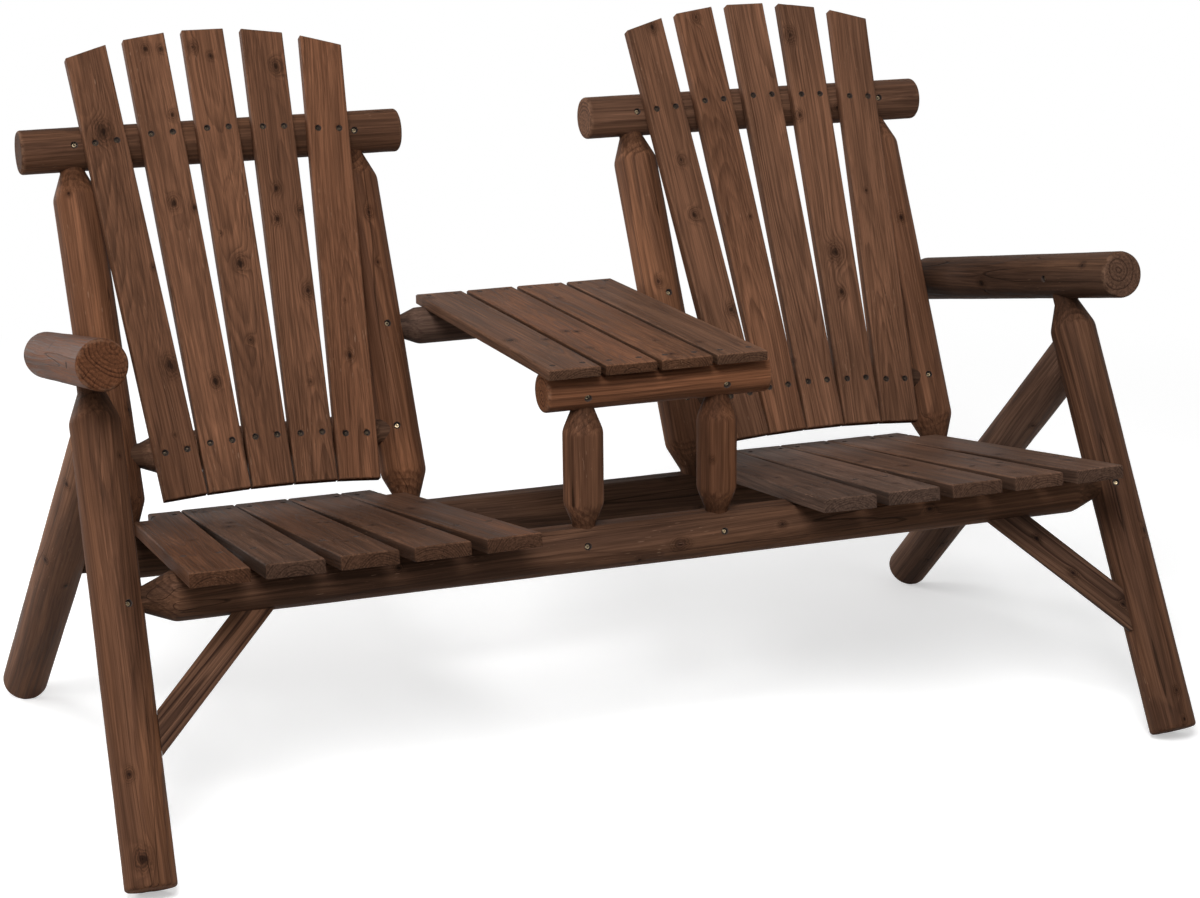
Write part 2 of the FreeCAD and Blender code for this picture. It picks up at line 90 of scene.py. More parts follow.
LEG_X = 770.8
LEG_Y = -438.5
LEG_LEAN = 28.1
LEG_SPLAY = 1.9
REAR_X = 779.6
REAR_Y = 465.7
REAR_LEAN = 48.4
REAR_SPLAY = 2.6
HEEL_TRIM = 3.0
ARM_X = 760.5
ARM_Y = -255.1
ARM_Z = 672.2
ARM_SLOPE = 10.3
ARM_TAIL = 48.0
ARM_GAP = 0.6
BRACE_FRONT = 13.0
BRACE_ANGLE = 43.7
BRACE_FOOT = {"left": 181.0, "right": 167.0}

LOG_RADIUS = 35.0
RAIL_FLAT = 3.0
TENON = 19.0
TENON_STOP = 8.0
CONE_TAPER = 0.4
JOINT_GAP = 0.3

SIDES = (("left", -1), ("right", 1))


def sin(degrees):
    return math.sin(math.radians(degrees))


def cos(degrees):
    return math.cos(math.radians(degrees))


def tan(degrees):
    return math.tan(math.radians(degrees))


# Places that follow from the driving sizes

def under_seat(way):
    """Middle of a rail that carries the seat boards, at a way along them from their front edge."""
    drop = SEAT_THICK + LOG_RADIUS - RAIL_FLAT
    y = SEAT_Y + way * cos(SEAT_TILT) - drop * sin(SEAT_TILT)
    z = SEAT_Z - way * sin(SEAT_TILT) - drop * cos(SEAT_TILT)
    return y, z


def behind_back(up, depth):
    """Place at a height along the back boards and a depth behind their front faces."""
    y = BACK_Y + up * sin(BACK_LEAN) + depth * cos(BACK_LEAN)
    z = BACK_Z + up * cos(BACK_LEAN) - depth * sin(BACK_LEAN)
    return y, z


BACK_Y = SEAT_Y + BACK_SET
BACK_Z = SEAT_Z - BACK_SET * tan(SEAT_TILT) + BACK_RISE
FRONT_RAIL_Y, FRONT_RAIL_Z = under_seat(FRONT_RAIL_SET)
REAR_RAIL_Y, REAR_RAIL_Z = under_seat(REAR_RAIL_SET)
POST_Y, POST_Z = behind_back(0.0, POST_DEPTH)
CROWN = LOG_RADIUS - RAIL_FLAT + JOINT_GAP
ACROSS = (1.0, 0.0, 0.0)


def row(place, along, length, radius=LOG_RADIUS, low=None, high=None, tenon=TENON, flat=0.0):
    """A log: low end's centre, direction, length, radius, shoulders (None if square), tenon, planed depth."""
    return place, along, length, radius, low, high, tenon, flat


def pair(name, make):
    """The left and the right one of a kind of log."""
    return {name + side_name: make(side) for side_name, side in SIDES}


def seat_rail(y, z, leg_x, splay):
    half = leg_x - z * tan(splay)
    shoulder = (LOG_RADIUS + JOINT_GAP + TENON * sin(splay)) / cos(splay)
    return row((-half, y, z), ACROSS, 2 * half, low=shoulder, high=shoulder, flat=RAIL_FLAT)


def table_logs():
    """The table's rails, level with its boards, and its posts on the front seat rail."""
    drop = TABLE_THICK + TABLE_LOG_RADIUS - RAIL_FLAT
    level = TABLE_Z + TABLE_Y * tan(TABLE_TILT) - drop / cos(TABLE_TILT)
    front_y = TABLE_Y + TABLE_RAIL_SET * cos(TABLE_TILT) - drop * sin(TABLE_TILT)
    front_z = level - front_y * tan(TABLE_TILT)
    rear_y = (POST_Y + (level - POST_Z) * tan(BACK_LEAN)) / (1.0 + tan(TABLE_TILT) * tan(BACK_LEAN))
    rear_z = level - rear_y * tan(TABLE_TILT)
    made = {}
    made["table_front_rail"] = row(
        (-TABLE_RAIL_LEFT, front_y, front_z), ACROSS, TABLE_RAIL_LEFT + TABLE_RAIL_RIGHT,
        TABLE_LOG_RADIUS, tenon=TABLE_TENON, flat=RAIL_FLAT)
    inner = CHAIR_X - POST_OFFSET
    shoulder = LOG_RADIUS + JOINT_GAP
    made["table_rear_rail"] = row(
        (-inner, rear_y, rear_z), ACROSS, 2 * inner, TABLE_LOG_RADIUS, shoulder, shoulder, flat=RAIL_FLAT)
    rise = front_z - FRONT_RAIL_Z
    lean = math.degrees(math.atan((front_y - FRONT_RAIL_Y) / rise))
    slant = SEAT_TILT - lean
    foot = (CROWN + TABLE_TENON * sin(slant)) / cos(slant)
    for side_name, x in (("left", TABLE_POST_LEFT), ("right", TABLE_POST_RIGHT)):
        made["table_post_" + side_name] = row(
            (x, FRONT_RAIL_Y, FRONT_RAIL_Z), (0.0, sin(lean), cos(lean)), rise / cos(lean),
            TABLE_LOG_RADIUS, foot, TABLE_LOG_RADIUS + JOINT_GAP, TABLE_TENON)
    return made


def back_logs():
    """Top rails, lower rails and posts behind the two backs."""
    top = behind_back(TOP_RAIL_UP, BACK_THICK + TOP_RAIL_RADIUS + JOINT_GAP)
    low = behind_back(LOW_RAIL_UP, BACK_THICK + LOW_RAIL_RADIUS + JOINT_GAP)
    made = pair("top_rail_", lambda side: row(
        (side * CHAIR_X - TOP_RAIL_HALF, *top), ACROSS, 2 * TOP_RAIL_HALF, TOP_RAIL_RADIUS))
    shoulder = LOG_RADIUS + JOINT_GAP
    made |= pair("low_rail_", lambda side: row(
        (side * CHAIR_X - POST_OFFSET, *low), ACROSS, 2 * POST_OFFSET, LOW_RAIL_RADIUS, shoulder, shoulder))
    away_y = REAR_RAIL_Y - POST_Y
    away_z = REAR_RAIL_Z - POST_Z
    start = away_y * sin(BACK_LEAN) + away_z * cos(BACK_LEAN)
    miss = away_y * cos(BACK_LEAN) - away_z * sin(BACK_LEAN)
    slant = BACK_LEAN - SEAT_TILT
    foot = (CROWN + (TENON - miss) * sin(slant)) / cos(slant)
    place = behind_back(start, POST_DEPTH)
    for side_name, side in SIDES:
        for hand_name, hand in (("outer", 1), ("inner", -1)):
            made["back_post_%s_%s" % (side_name, hand_name)] = row(
                (side * (CHAIR_X + hand * POST_OFFSET), *place), (0.0, sin(BACK_LEAN), cos(BACK_LEAN)),
                TOP_RAIL_UP - start, low=foot, high=TOP_RAIL_RADIUS + JOINT_GAP)
    return made


def arms():
    """Arms that slope down to the rear and turn in until they pass the outer back posts."""
    climb = ARM_Z - POST_Z - (POST_Y - ARM_Y) * tan(ARM_SLOPE)
    crossing = climb / (cos(BACK_LEAN) + sin(BACK_LEAN) * tan(ARM_SLOPE))
    run = POST_Y + crossing * sin(BACK_LEAN) - ARM_Y
    rear_x = CHAIR_X + POST_OFFSET + 2 * LOG_RADIUS + ARM_GAP
    toe = math.degrees(math.atan((ARM_X - rear_x) / run))
    level = cos(ARM_SLOPE)
    return pair("arm_", lambda side: row(
        (side * ARM_X, ARM_Y, ARM_Z), (-side * level * sin(toe), level * cos(toe), -sin(ARM_SLOPE)),
        run / (level * cos(toe)) + ARM_TAIL))


def heel(lean):
    """Way from the foot's middle on the floor to the log's low end, whose edge is trimmed by the floor."""
    return (LOG_RADIUS * sin(lean) - HEEL_TRIM) / cos(lean)


def leg(x, y, lean, splay, side, rearward, top_z, high=None):
    """A leg from the floor up to a height, leaning to the rear (1) or to the front (-1)."""
    along = Vector((-side * cos(lean) * sin(splay), rearward * sin(lean), cos(lean) * cos(splay)))
    start = heel(lean)
    place = Vector((side * x, y, 0.0)) + along * start
    return row(tuple(place), tuple(along), top_z / along.z - start, high=high)


def legs():
    """Front legs with a tenon in the arm, and rear legs that run up to the front legs' middle line."""
    head_z = (ARM_Z + (ARM_Y - LEG_Y) * tan(ARM_SLOPE)) / (1.0 + tan(LEG_LEAN) * tan(ARM_SLOPE))
    meet_z = (REAR_Y - LEG_Y) / (tan(LEG_LEAN) + tan(REAR_LEAN))
    slant = LEG_LEAN - ARM_SLOPE
    shoulder = (LOG_RADIUS + JOINT_GAP + TENON * sin(slant)) / cos(slant)
    made = pair("front_leg_", lambda side: leg(LEG_X, LEG_Y, LEG_LEAN, LEG_SPLAY, side, 1, head_z, shoulder))
    made |= pair("rear_leg_", lambda side: leg(REAR_X, REAR_Y, REAR_LEAN, REAR_SPLAY, side, -1, meet_z))
    return made


LOGS = {
    "front_seat_rail": seat_rail(FRONT_RAIL_Y, FRONT_RAIL_Z, LEG_X, LEG_SPLAY),
    "rear_seat_rail": seat_rail(REAR_RAIL_Y, REAR_RAIL_Z, REAR_X, REAR_SPLAY),
    **table_logs(), **back_logs(), **arms(), **legs(),
}

# How each log took on the staining, with painted light and shade mixed in: depth, warmth, depth of the sawn
# ends. Given in steps of 0.05 or so, fitted to the mean colours of the photograph, so they hold its light and
# shade too: painted shade on the seat rails, painted light on the rear legs.
STAIN_AND_PAINTED_LIGHT = {
    "arm_left": (0.62, 1.22, 1.0),
    "arm_right": (0.55, 0.9, 1.65),
    "back_post_left_inner": (1.0, 1.1, 1.0),
    "back_post_left_outer": (0.9, 1.1, 1.0),
    "back_post_right_inner": (1.0, 1.05, 1.0),
    "back_post_right_outer": (1.25, 1.05, 1.0),
    "brace_left": (0.8, 0.95, 1.0),
    "brace_right": (0.7, 0.9, 1.0),
    "front_leg_left": (0.8, 1.05, 1.8),
    "front_leg_right": (0.7, 1.0, 1.0),
    "front_seat_rail": (0.7, 0.95, 1.0),
    "low_rail_left": (1.15, 0.9, 1.0),
    "low_rail_right": (1.15, 0.9, 1.0),
    "rear_leg_left": (1.2, 0.95, 1.0),
    "rear_leg_right": (1.3, 0.85, 1.0),
    "rear_seat_rail": (0.5, 0.9, 1.0),
    "table_front_rail": (1.05, 1.15, 1.05),
    "table_post_left": (0.95, 1.05, 1.0),
    "table_post_right": (0.75, 1.1, 1.0),
    "table_rear_rail": (1.25, 0.8, 1.0),
    "top_rail_left": (0.8, 1.0, 0.7),
    "top_rail_right": (1.1, 0.95, 1.15),
}

# The same for rows of boards, board by board: depths, warmths, depths of the sawn ends, with painted light
# and shade mixed in
BOARD_STAIN_AND_PAINTED_LIGHT = {
    "back_slat_left": ((0.75, 0.9, 0.8, 0.8, 0.9), (1.05, 1.05, 1.05, 1.05, 1.1), (0.8,) * 5),
    "back_slat_right": ((0.8, 0.95, 0.95, 0.9, 0.9), (1.0, 1.05, 1.0, 1.0, 1.0), (0.8,) * 5),
    "seat_slat_left": ((0.8, 0.85, 0.8, 0.8, 0.85), (1.2, 1.0, 1.1, 1.1, 1.1), (0.8, 0.8, 0.9, 0.9, 0.85)),
    "seat_slat_right": ((1.05, 1.4, 1.1, 1.3, 1.3), (0.9, 0.9, 1.0, 1.0, 0.95), (0.95, 0.7, 0.9, 0.9, 0.75)),
    "table_slat": ((0.9, 0.85, 0.9, 0.95), (1.0, 1.1, 1.1, 1.0), (0.75, 0.65, 0.75, 0.75)),
}
for row_name, stains_and_light in BOARD_STAIN_AND_PAINTED_LIGHT.items():
    for number, stain_and_light in enumerate(zip(*stains_and_light), 1):
        STAIN_AND_PAINTED_LIGHT["%s_%d" % (row_name, number)] = stain_and_light

# Knots that stand out: along the piece, across it (or degrees round a log), size of the heart, in millimetres
KNOTS = {
    "back_slat_left_1": [(564, -1, 9), (197, 20, 9), (348, 27, 3), (94, 2, 2)],
    "back_slat_left_2": [(686, -1, 5), (684, 22, 4), (443, -3, 6), (432, 27, 4), (165, 8, 6), (579, 20, 5)],
    "back_slat_left_3": [(684, -19, 5), (668, 6, 4), (389, -21, 2), (341, 2, 7), (222, -1, 4)],
    "back_slat_left_4": [(648, 15, 7), (419, 25, 5), (454, -7, 5), (406, -12, 5), (292, 21, 6), (152, 8, 3)],
    "back_slat_left_5": [(190, 1, 5), (276, 1, 2)],
    "back_slat_right_1": [(685, 11, 6), (460, 2, 5), (368, 0, 6), (206, 21, 6)],
    "back_slat_right_2": [(694, 0, 5), (354, 16, 2.5)],
    "back_slat_right_3": [(514, -36, 2.5), (112, -35, 3)],
    "back_slat_right_4": [(655, -20, 7), (284, -2, 9), (217, -2, 5), (517, -26, 5)],
    "back_slat_right_5": [(387, -9, 2.5)],
    "back_post_left_outer": [(544, 62, 3), (210, 140, 5)],
    "back_post_left_inner": [(481, 96, 5), (401, 97, 3)],
    "back_post_right_inner": [(334, 71, 5), (560, 110, 3), (200, 60, 4)],
    "arm_right": [(344, -11, 6), (60, 30, 4)],
    "arm_left": [(300, 40, 4)],
    "front_seat_rail": [(954, 164, 4), (795, -177, 7), (735, -145, 3), (1190, 170, 5), (380, 160, 4)],
    "rear_leg_right": [(591, 74, 4), (167, 80, 5), (103, 73, 4)],
    "front_leg_right": [(55, 93, 4), (11, 95, 3), (300, 120, 5)],
    "front_leg_left": [(149, 61, 5), (38, 69, 8), (575, 130, 3)],
    "rear_leg_left": [(469, 30, 6), (413, 98, 4), (700, 29, 5)],
    "table_post_right": [(113, 53, 3)],
    "table_post_left": [],
    "brace_left": [],
    "brace_right": [(60, 4, 5), (150, -6, 5), (225, 3, 4)],
}

# Bolts: along the log, and degrees round it
BOLTS = {
    "front_seat_rail": [(656.0, 163.0), (864.0, 165.0)],
    "table_front_rail": [(59.0, -164.0), (268.0, -163.0)],
    "front_leg_left": [(373.0, 106.0)],
    "front_leg_right": [(378.0, 70.0)],
    "top_rail_left": [(78.6, 160.0), (510.0, 166.0)],
    "top_rail_right": [(80.0, 162.0), (510.0, 164.0)],
    "back_post_left_inner": [(144.5, 77.0), (304.0, 97.0)],
    "back_post_left_outer": [(143.0, 90.0)],
    "back_post_right_inner": [(143.0, 90.0), (314.5, 93.0)],
    "back_post_right_outer": [(140.7, 80.0)],
    "arm_left": [(90.0, 0.0), (556.0, 0.0)],
    "arm_right": [(162.0, -3.0)],
}

# Where the pith lies from a log's middle, where the sawn end shows it
PITH = {"arm_left": (-17.0, 27.0), "arm_right": (12.0, 14.0), "table_front_rail": (-6.0, -8.0)}

# Screws in the boards: ways along the board for the middle board, its neighbours and the outer ones
BACK_SCREWS_UPPER = (555.0, 553.0, 549.0)
BACK_SCREWS_LOWER = (75.0, 74.0, 70.0)
BACK_SCREW_SIDE = 16.5
SEAT_SCREWS_FRONT = 148.0
SEAT_SCREWS_REAR = 545.0
SEAT_SCREW_SIDE = 24.0
SEAT_SCREW_REAR_SIDE = 26.0
SEAT_SCREW_BY_NOTCH = 6.5
TABLE_SCREWS = (30.0, 577.0)
TABLE_SCREW_SIDE = 22.0
SCREW_RADIUS = 4.1
TABLE_SCREW_RADIUS = 3.9
SCREW_BORE = 5.2
SCREW_HEAD_SHARE = 0.66
SCREW_HEAD_SUNK = 4.5
BOLT_BORE_RADIUS = 4.6
BOLT_BORE = 5.5
BOLT_HEAD_RADIUS = 3.2
BOLT_HEAD_SUNK = 4.0

# How far below its top the pith of the tree lies, for each kind of board
BACK_PITH = 55.0
SEAT_PITH = 42.0
TABLE_PITH = 38.0

# Painted shade on the long sides of seat and table boards, which face the gaps between the boards: how dark
# they stand
GAP_SHADE = 0.55

BOARD_EDGE = 0.7
BRACE_EDGE = 0.9
BOARD_UNEVEN = 0.35
LOG_SIDES = 72
LOG_STEP = 7.0
LOG_UNEVEN = 0.75
LOG_DENT = 0.28
END_EASE = 5.2
END_STEPS = (0.3, 0.9, 1.8, 3.1, 5.2)
END_RINGS = (0.82, 0.58, 0.32)
CORNER_SOFT = 2.2

# The camera: place in millimetres, turns about x, y and z in degrees, lens in millimetres
CAMERA_PLACE = (-1426.63, -3742.11, 1448.76)
CAMERA_TURN = (74.573, 0.535, -21.356)
CAMERA_LENS = 83.064
CAMERA_SHIFT_Y = 0.0425
SENSOR_WIDTH = 36.0

# Lights: place and size in metres, watts
LIGHT_TARGET = (0.0, 0.0, 0.5)
LIGHTS = {
    "key_light": ((-1.7, -3.5, 3.8), 2.2, 205.0),
    "side_light": ((-4.2, -0.8, 1.5), 1.8, 46.0),
    "fill_light": ((2.6, -4.0, 1.8), 2.6, 20.0),
    "back_light": ((-2.6, 3.6, 1.5), 2.2, 105.0),
}

# The floor, in metres: half its side, and where its shading starts and has ended
FLOOR_HALF = 40.0
FLOOR_NEAR = 1.5
FLOOR_FAR = 3.2

# Unevenness in the wood, in waves per metre: across the grain, and along it
WANDER = (7.0, 1.1)
RIPPLE = (45.0, 5.0)
FIBRE = (270.0, 4.2)
FINE_FIBRE = (900.0, 15.0)
STREAK = (72.0, 1.6)
PORE = (1500.0, 55.0)
PATCH = (13.0, 2.3)
CRACK_LINE = (34.0, 0.7)
FLECK = (420.0, 60.0)
FLECK_PATCH = (16.0, 6.0)
KNOT_EDGE = (150.0, 60.0)
KNOT_TONE = (12.0, 12.0)
END_SPLIT = (7.0, 1.0)

BARE_WOOD = (0.27, 0.155, 0.10, 1.0)
WHITE = (1.0, 1.0, 1.0, 1.0)


# Camera, light and floor

def camera():
    data = bpy.data.cameras.new("camera")
    data.sensor_fit = "HORIZONTAL"
    data.sensor_width = SENSOR_WIDTH
    data.lens = CAMERA_LENS
    data.shift_y = CAMERA_SHIFT_Y
    data.clip_start = 0.05
    data.clip_end = 120.0
    made = bpy.data.objects.new("camera", data)
    turn = Euler([math.radians(degrees) for degrees in CAMERA_TURN]).to_matrix().to_4x4()
    made.matrix_world = Matrix.Translation(Vector(CAMERA_PLACE) * MM) @ turn
    scene.collection.objects.link(made)
    scene.camera = made


def area_light(name, place, size, watts):
    data = bpy.data.lights.new(name, "AREA")
    data.shape = "DISK"
    data.size = size
    data.energy = watts
    made = bpy.data.objects.new(name, data)
    made.location = place
    made.rotation_euler = (Vector(LIGHT_TARGET) - Vector(place)).to_track_quat("-Z", "Y").to_euler()
    scene.collection.objects.link(made)


class Tree:
    """Short hand for building a node tree."""

    def __init__(self, tree):
        self.tree = tree
        tree.nodes.clear()

    def node(self, kind, *values, **options):
        made = self.tree.nodes.new(kind)
        for key, value in options.items():
            setattr(made, key, value)
        for number, value in enumerate(values):
            self.feed(made.inputs[number], value)
        return made

    def feed(self, socket, value):
        if isinstance(value, bpy.types.NodeSocket):
            self.tree.links.new(value, socket)
        else:
            socket.default_value = value

    def math(self, operation, *values, clamp=False):
        made = self.node("ShaderNodeMath", *values, operation=operation, use_clamp=clamp)
        return made.outputs[0]

    def times(self, *values):
        """Product of two or more values."""
        product = values[0]
        for value in values[1:]:
            product = self.math("MULTIPLY", product, value)
        return product

    def grow(self, value, factor, base):
        """Value times factor, plus base."""
        return self.math("MULTIPLY_ADD", value, factor, base)

    def vector(self, operation, *values):
        made = self.node("ShaderNodeVectorMath", *values, operation=operation)
        return made.outputs["Value" if operation == "LENGTH" else "Vector"]

    def ramp(self, value, low, high, to_low=0.0, to_high=1.0):
        """Smooth step of value from low to high."""
        values = (value, low, high, to_low, to_high)
        return self.node("ShaderNodeMapRange", *values, interpolation_type="SMOOTHSTEP").outputs[0]

    def mix(self, share, first, second, blend="MIX"):
        made = self.tree.nodes.new("ShaderNodeMix")
        made.data_type = "RGBA"
        made.blend_type = blend
        self.feed(made.inputs[0], share)
        self.feed(made.inputs[6], first)
        self.feed(made.inputs[7], second)
        return made.outputs[2]

    def shaded(self, colour, shade):
        """Colour times a plain value."""
        grey = self.node("ShaderNodeCombineColor", shade, shade, shade).outputs[0]
        return self.mix(1.0, colour, grey, "MULTIPLY")

    def noise(self, vector, scale, detail=2.0, rough=0.5):
        made = self.tree.nodes.new("ShaderNodeTexNoise")
        self.feed(made.inputs["Vector"], vector)
        made.inputs["Scale"].default_value = scale
        made.inputs["Detail"].default_value = detail
        made.inputs["Roughness"].default_value = rough
        return made.outputs

    def waves(self, vector, kind, detail=2.0, rough=0.5):
        """Noise with waves of one length across the grain and of another along it."""
        across, along = kind
        return self.noise(self.vector("MULTIPLY", vector, (across, across, along)), 1.0, detail, rough)

    def sway(self, vector, kind, size):
        """Waves to both sides across the grain, up to half of size."""
        centred = self.vector("SUBTRACT", self.waves(vector, kind)["Color"], (0.5, 0.5, 0.5))
        return self.vector("MULTIPLY", centred, (size, size, 0.0))

    def carried(self, name, output="Vector"):
        """What the mesh carries under a name."""
        return self.node("ShaderNodeAttribute", attribute_name=name).outputs[output]

    def apart(self, vector):
        return self.node("ShaderNodeSeparateXYZ", vector).outputs


def new_material(name):
    material = bpy.data.materials.new(name)
    material.use_nodes = True
    return material, Tree(material.node_tree)


def shown(t):
    """1 for what the camera sees, also by way of metal."""
    path = t.node("ShaderNodeLightPath").outputs
    mirrored = t.math("MAXIMUM", path["Is Glossy Ray"], path["Is Transmission Ray"])
    return t.math("MAXIMUM", path["Is Camera Ray"], mirrored)


def set_world():
    """White where the camera sees it, and a weaker white as light."""
    world = bpy.data.worlds.new("studio")
    world.use_nodes = True
    scene.world = world
    t = Tree(world.node_tree)
    back = t.node("ShaderNodeBackground", WHITE, t.grow(shown(t), 0.70, 0.30))
    t.node("ShaderNodeOutputWorld", back.outputs[0])


def floor():
    """A floor that is white to the camera and fades into the world, and grey as a source of light."""
    mesh = bpy.data.meshes.new("floor")
    corners = [(x * FLOOR_HALF, y * FLOOR_HALF, 0.0) for x, y in ((-1, -1), (1, -1), (1, 1), (-1, 1))]
    mesh.from_pydata(corners, [], [(0, 1, 2, 3)])
    made = bpy.data.objects.new("floor", mesh)
    scene.collection.objects.link(made)
    material, t = new_material("floor")
    seen = shown(t)
    place = t.node("ShaderNodeTexCoord").outputs["Object"]
    away = t.ramp(t.vector("LENGTH", place), FLOOR_NEAR, FLOOR_FAR)
    lit = t.mix(seen, (0.28, 0.28, 0.28, 1), (0.88, 0.88, 0.88, 1))
    near = t.node("ShaderNodeBsdfDiffuse", lit).outputs[0]
    lift = t.node("ShaderNodeEmission", WHITE, t.times(seen, 0.42)).outputs[0]
    near = t.node("ShaderNodeAddShader", near, lift).outputs[0]
    far = t.node("ShaderNodeEmission", WHITE, 1.0).outputs[0]
    both = t.node("ShaderNodeMixShader", t.times(away, seen), near, far).outputs[0]
    t.node("ShaderNodeOutputMaterial", both)
    mesh.materials.append(material)


# Wood

def wood_sockets(face):
    for name in ("Light", "Dark", "Red", "Late"):
        face.new_socket(name, in_out="INPUT", socket_type="NodeSocketColor")
    for name in ("Ring width", "Ring depth", "Crack", "End shade"):
        face.new_socket(name, in_out="INPUT", socket_type="NodeSocketFloat")
    face.new_socket("Color", in_out="OUTPUT", socket_type="NodeSocketColor")
    face.new_socket("Roughness", in_out="OUTPUT", socket_type="NodeSocketFloat")
    face.new_socket("Height", in_out="OUTPUT", socket_type="NodeSocketFloat")


def read_piece(t):
    """What the group is given, and what each piece's mesh carries."""
    w = SimpleNamespace(given=t.node("NodeGroupInput").outputs)
    w.grain = t.carried("grain")
    w.knot = t.apart(t.carried("knot"))
    w.tint = t.carried("tint")
    w.mark = t.apart(t.carried("mark"))
    w.cut = t.carried("cut", "Fac")
    return w


def growth_rings(t, w):
    """Late and early wood in rings round a pith line that wanders. The rings swell round a knot."""
    bent = t.vector("ADD", w.grain, t.sway(w.grain, WANDER, 0.034))
    w.bent = t.vector("ADD", bent, t.sway(w.grain, RIPPLE, 0.0042))
    w.away = t.vector("LENGTH", t.node("ShaderNodeCombineXYZ", w.knot[0], w.knot[1], 0.0).outputs[0])
    swell = t.math("EXPONENT", t.times(t.math("POWER", w.away, 2.0), -0.30))
    w.flat = t.vector("MULTIPLY", w.bent, (1.0, 1.0, 0.0))
    radius = t.math("ADD", t.times(swell, w.knot[2]), t.vector("LENGTH", w.flat))
    rings = t.math("DIVIDE", radius, t.times(w.given["Ring width"], t.grow(w.cut, 0.5, 1.0)))
    phase = t.math("FRACT", rings)
    along = t.apart(w.grain)[2]
    each = t.node("ShaderNodeCombineXYZ", t.times(t.math("FLOOR", rings), 0.77), 0.4, t.times(along, 1.3))
    w.band = t.ramp(t.noise(each.outputs[0], 1.0, 1.0)["Fac"], 0.36, 0.62)
    late = t.times(t.ramp(phase, 0.42, 0.90), t.ramp(phase, 0.93, 1.0, 1.0, 0.0))
    w.late = t.times(late, t.grow(w.band, 0.85, 0.25))
    w.early = t.times(t.ramp(phase, 0.0, 0.12), t.ramp(phase, 0.12, 0.50, 1.0, 0.0), w.band)


def fibres(t, w):
    """Fibres, pores, drying cracks and flecks, and the stain's colour over them."""
    w.fibre = t.waves(w.bent, FIBRE, 3.0, 0.62)["Fac"]
    fine = t.waves(w.bent, FINE_FIBRE, 2.0, 0.6)["Fac"]
    streak = t.waves(w.bent, STREAK, 2.0, 0.55)["Fac"]
    w.pores = t.waves(w.bent, PORE, 2.0, 0.6)["Fac"]
    broad = t.waves(w.bent, PATCH)["Fac"]
    line = t.waves(w.bent, CRACK_LINE, 0.0)["Fac"]
    crack = t.ramp(t.math("ABSOLUTE", t.math("SUBTRACT", line, 0.63)), 0.001, 0.006, 1.0, 0.0)
    w.crack = t.times(crack, t.times(w.given["Crack"], t.math("SUBTRACT", 1.0, w.cut)))
    fleck = t.ramp(t.waves(w.grain, FLECK, 1.0)["Fac"], 0.68, 0.76)
    w.fleck = t.times(fleck, t.ramp(t.waves(w.grain, FLECK_PATCH, 1.0)["Fac"], 0.56, 0.66))

    colour = t.mix(t.ramp(streak, 0.30, 0.70), w.given["Dark"], w.given["Light"])
    red = t.math("MULTIPLY", t.ramp(broad, 0.46, 0.72), t.math("ADD", w.mark[1], 0.55), clamp=True)
    colour = t.mix(red, colour, w.given["Red"])
    w.colour = t.mix(t.math("MULTIPLY", w.late, w.given["Ring depth"], clamp=True), colour, w.given["Late"])
    shade = t.times(t.ramp(w.fibre, 0.28, 0.72, 0.68, 1.32), t.ramp(fine, 0.25, 0.75, 0.82, 1.18))
    shade = t.times(shade, t.ramp(broad, 0.2, 0.6, 0.86, 1.06))
    w.shade = t.times(shade, t.grow(t.times(w.early, w.given["Ring depth"]), 0.36, 1.0))


def knot_colours(t, w):
    """A dark heart with fine rings, and a redder and darker halo with rings of its own."""
    rough_edge = t.waves(w.grain, KNOT_EDGE, 3.0, 0.6)["Fac"]
    reach = t.grow(t.math("SUBTRACT", rough_edge, 0.5), 1.5, w.away)
    w.heart = t.ramp(reach, 0.45, 1.0, 1.0, 0.0)
    halo = t.ramp(reach, 0.8, 2.7, 1.0, 0.0)
    ripples = t.ramp(t.math("SINE", t.times(reach, 13.0)), -0.7, 0.9)
    centre = t.ramp(reach, 0.1, 0.5, 0.22, 1.0)
    w.colour = t.mix(t.times(halo, 0.45), w.colour, t.mix(ripples, w.given["Late"], w.given["Red"]))
    w.shade = t.times(w.shade, t.grow(halo, -0.30, 1.0))
    own = t.waves(w.grain, KNOT_TONE, 0.0)["Fac"]
    tone = t.times(centre, t.grow(ripples, 0.45, 0.62), t.ramp(own, 0.38, 0.62, 0.8, 2.3))
    w.colour = t.mix(t.times(w.heart, 0.85), w.colour, t.shaded(w.given["Late"], tone))


def sawn_ends(t, w):
    """On sawn ends the rings stand out, and drying checks run from the pith."""
    ends = t.mix(t.math("MULTIPLY", w.late, 0.72, clamp=True), w.given["Light"], w.given["Late"])
    split = t.waves(t.vector("NORMALIZE", w.flat), END_SPLIT)["Fac"]
    split = t.ramp(t.math("ABSOLUTE", t.math("SUBTRACT", split, 0.56)), 0.0, 0.014, 1.0, 0.0)
    w.split = t.times(split, t.times(w.cut, t.ramp(w.band, 0.3, 0.9)))
    w.colour = t.mix(w.cut, w.colour, ends)
    w.shade = t.times(w.shade, t.grow(w.cut, t.math("SUBTRACT", w.given["End shade"], 1.0), 1.0))
    w.shade = t.times(w.shade, t.grow(w.split, -0.5, 1.0))


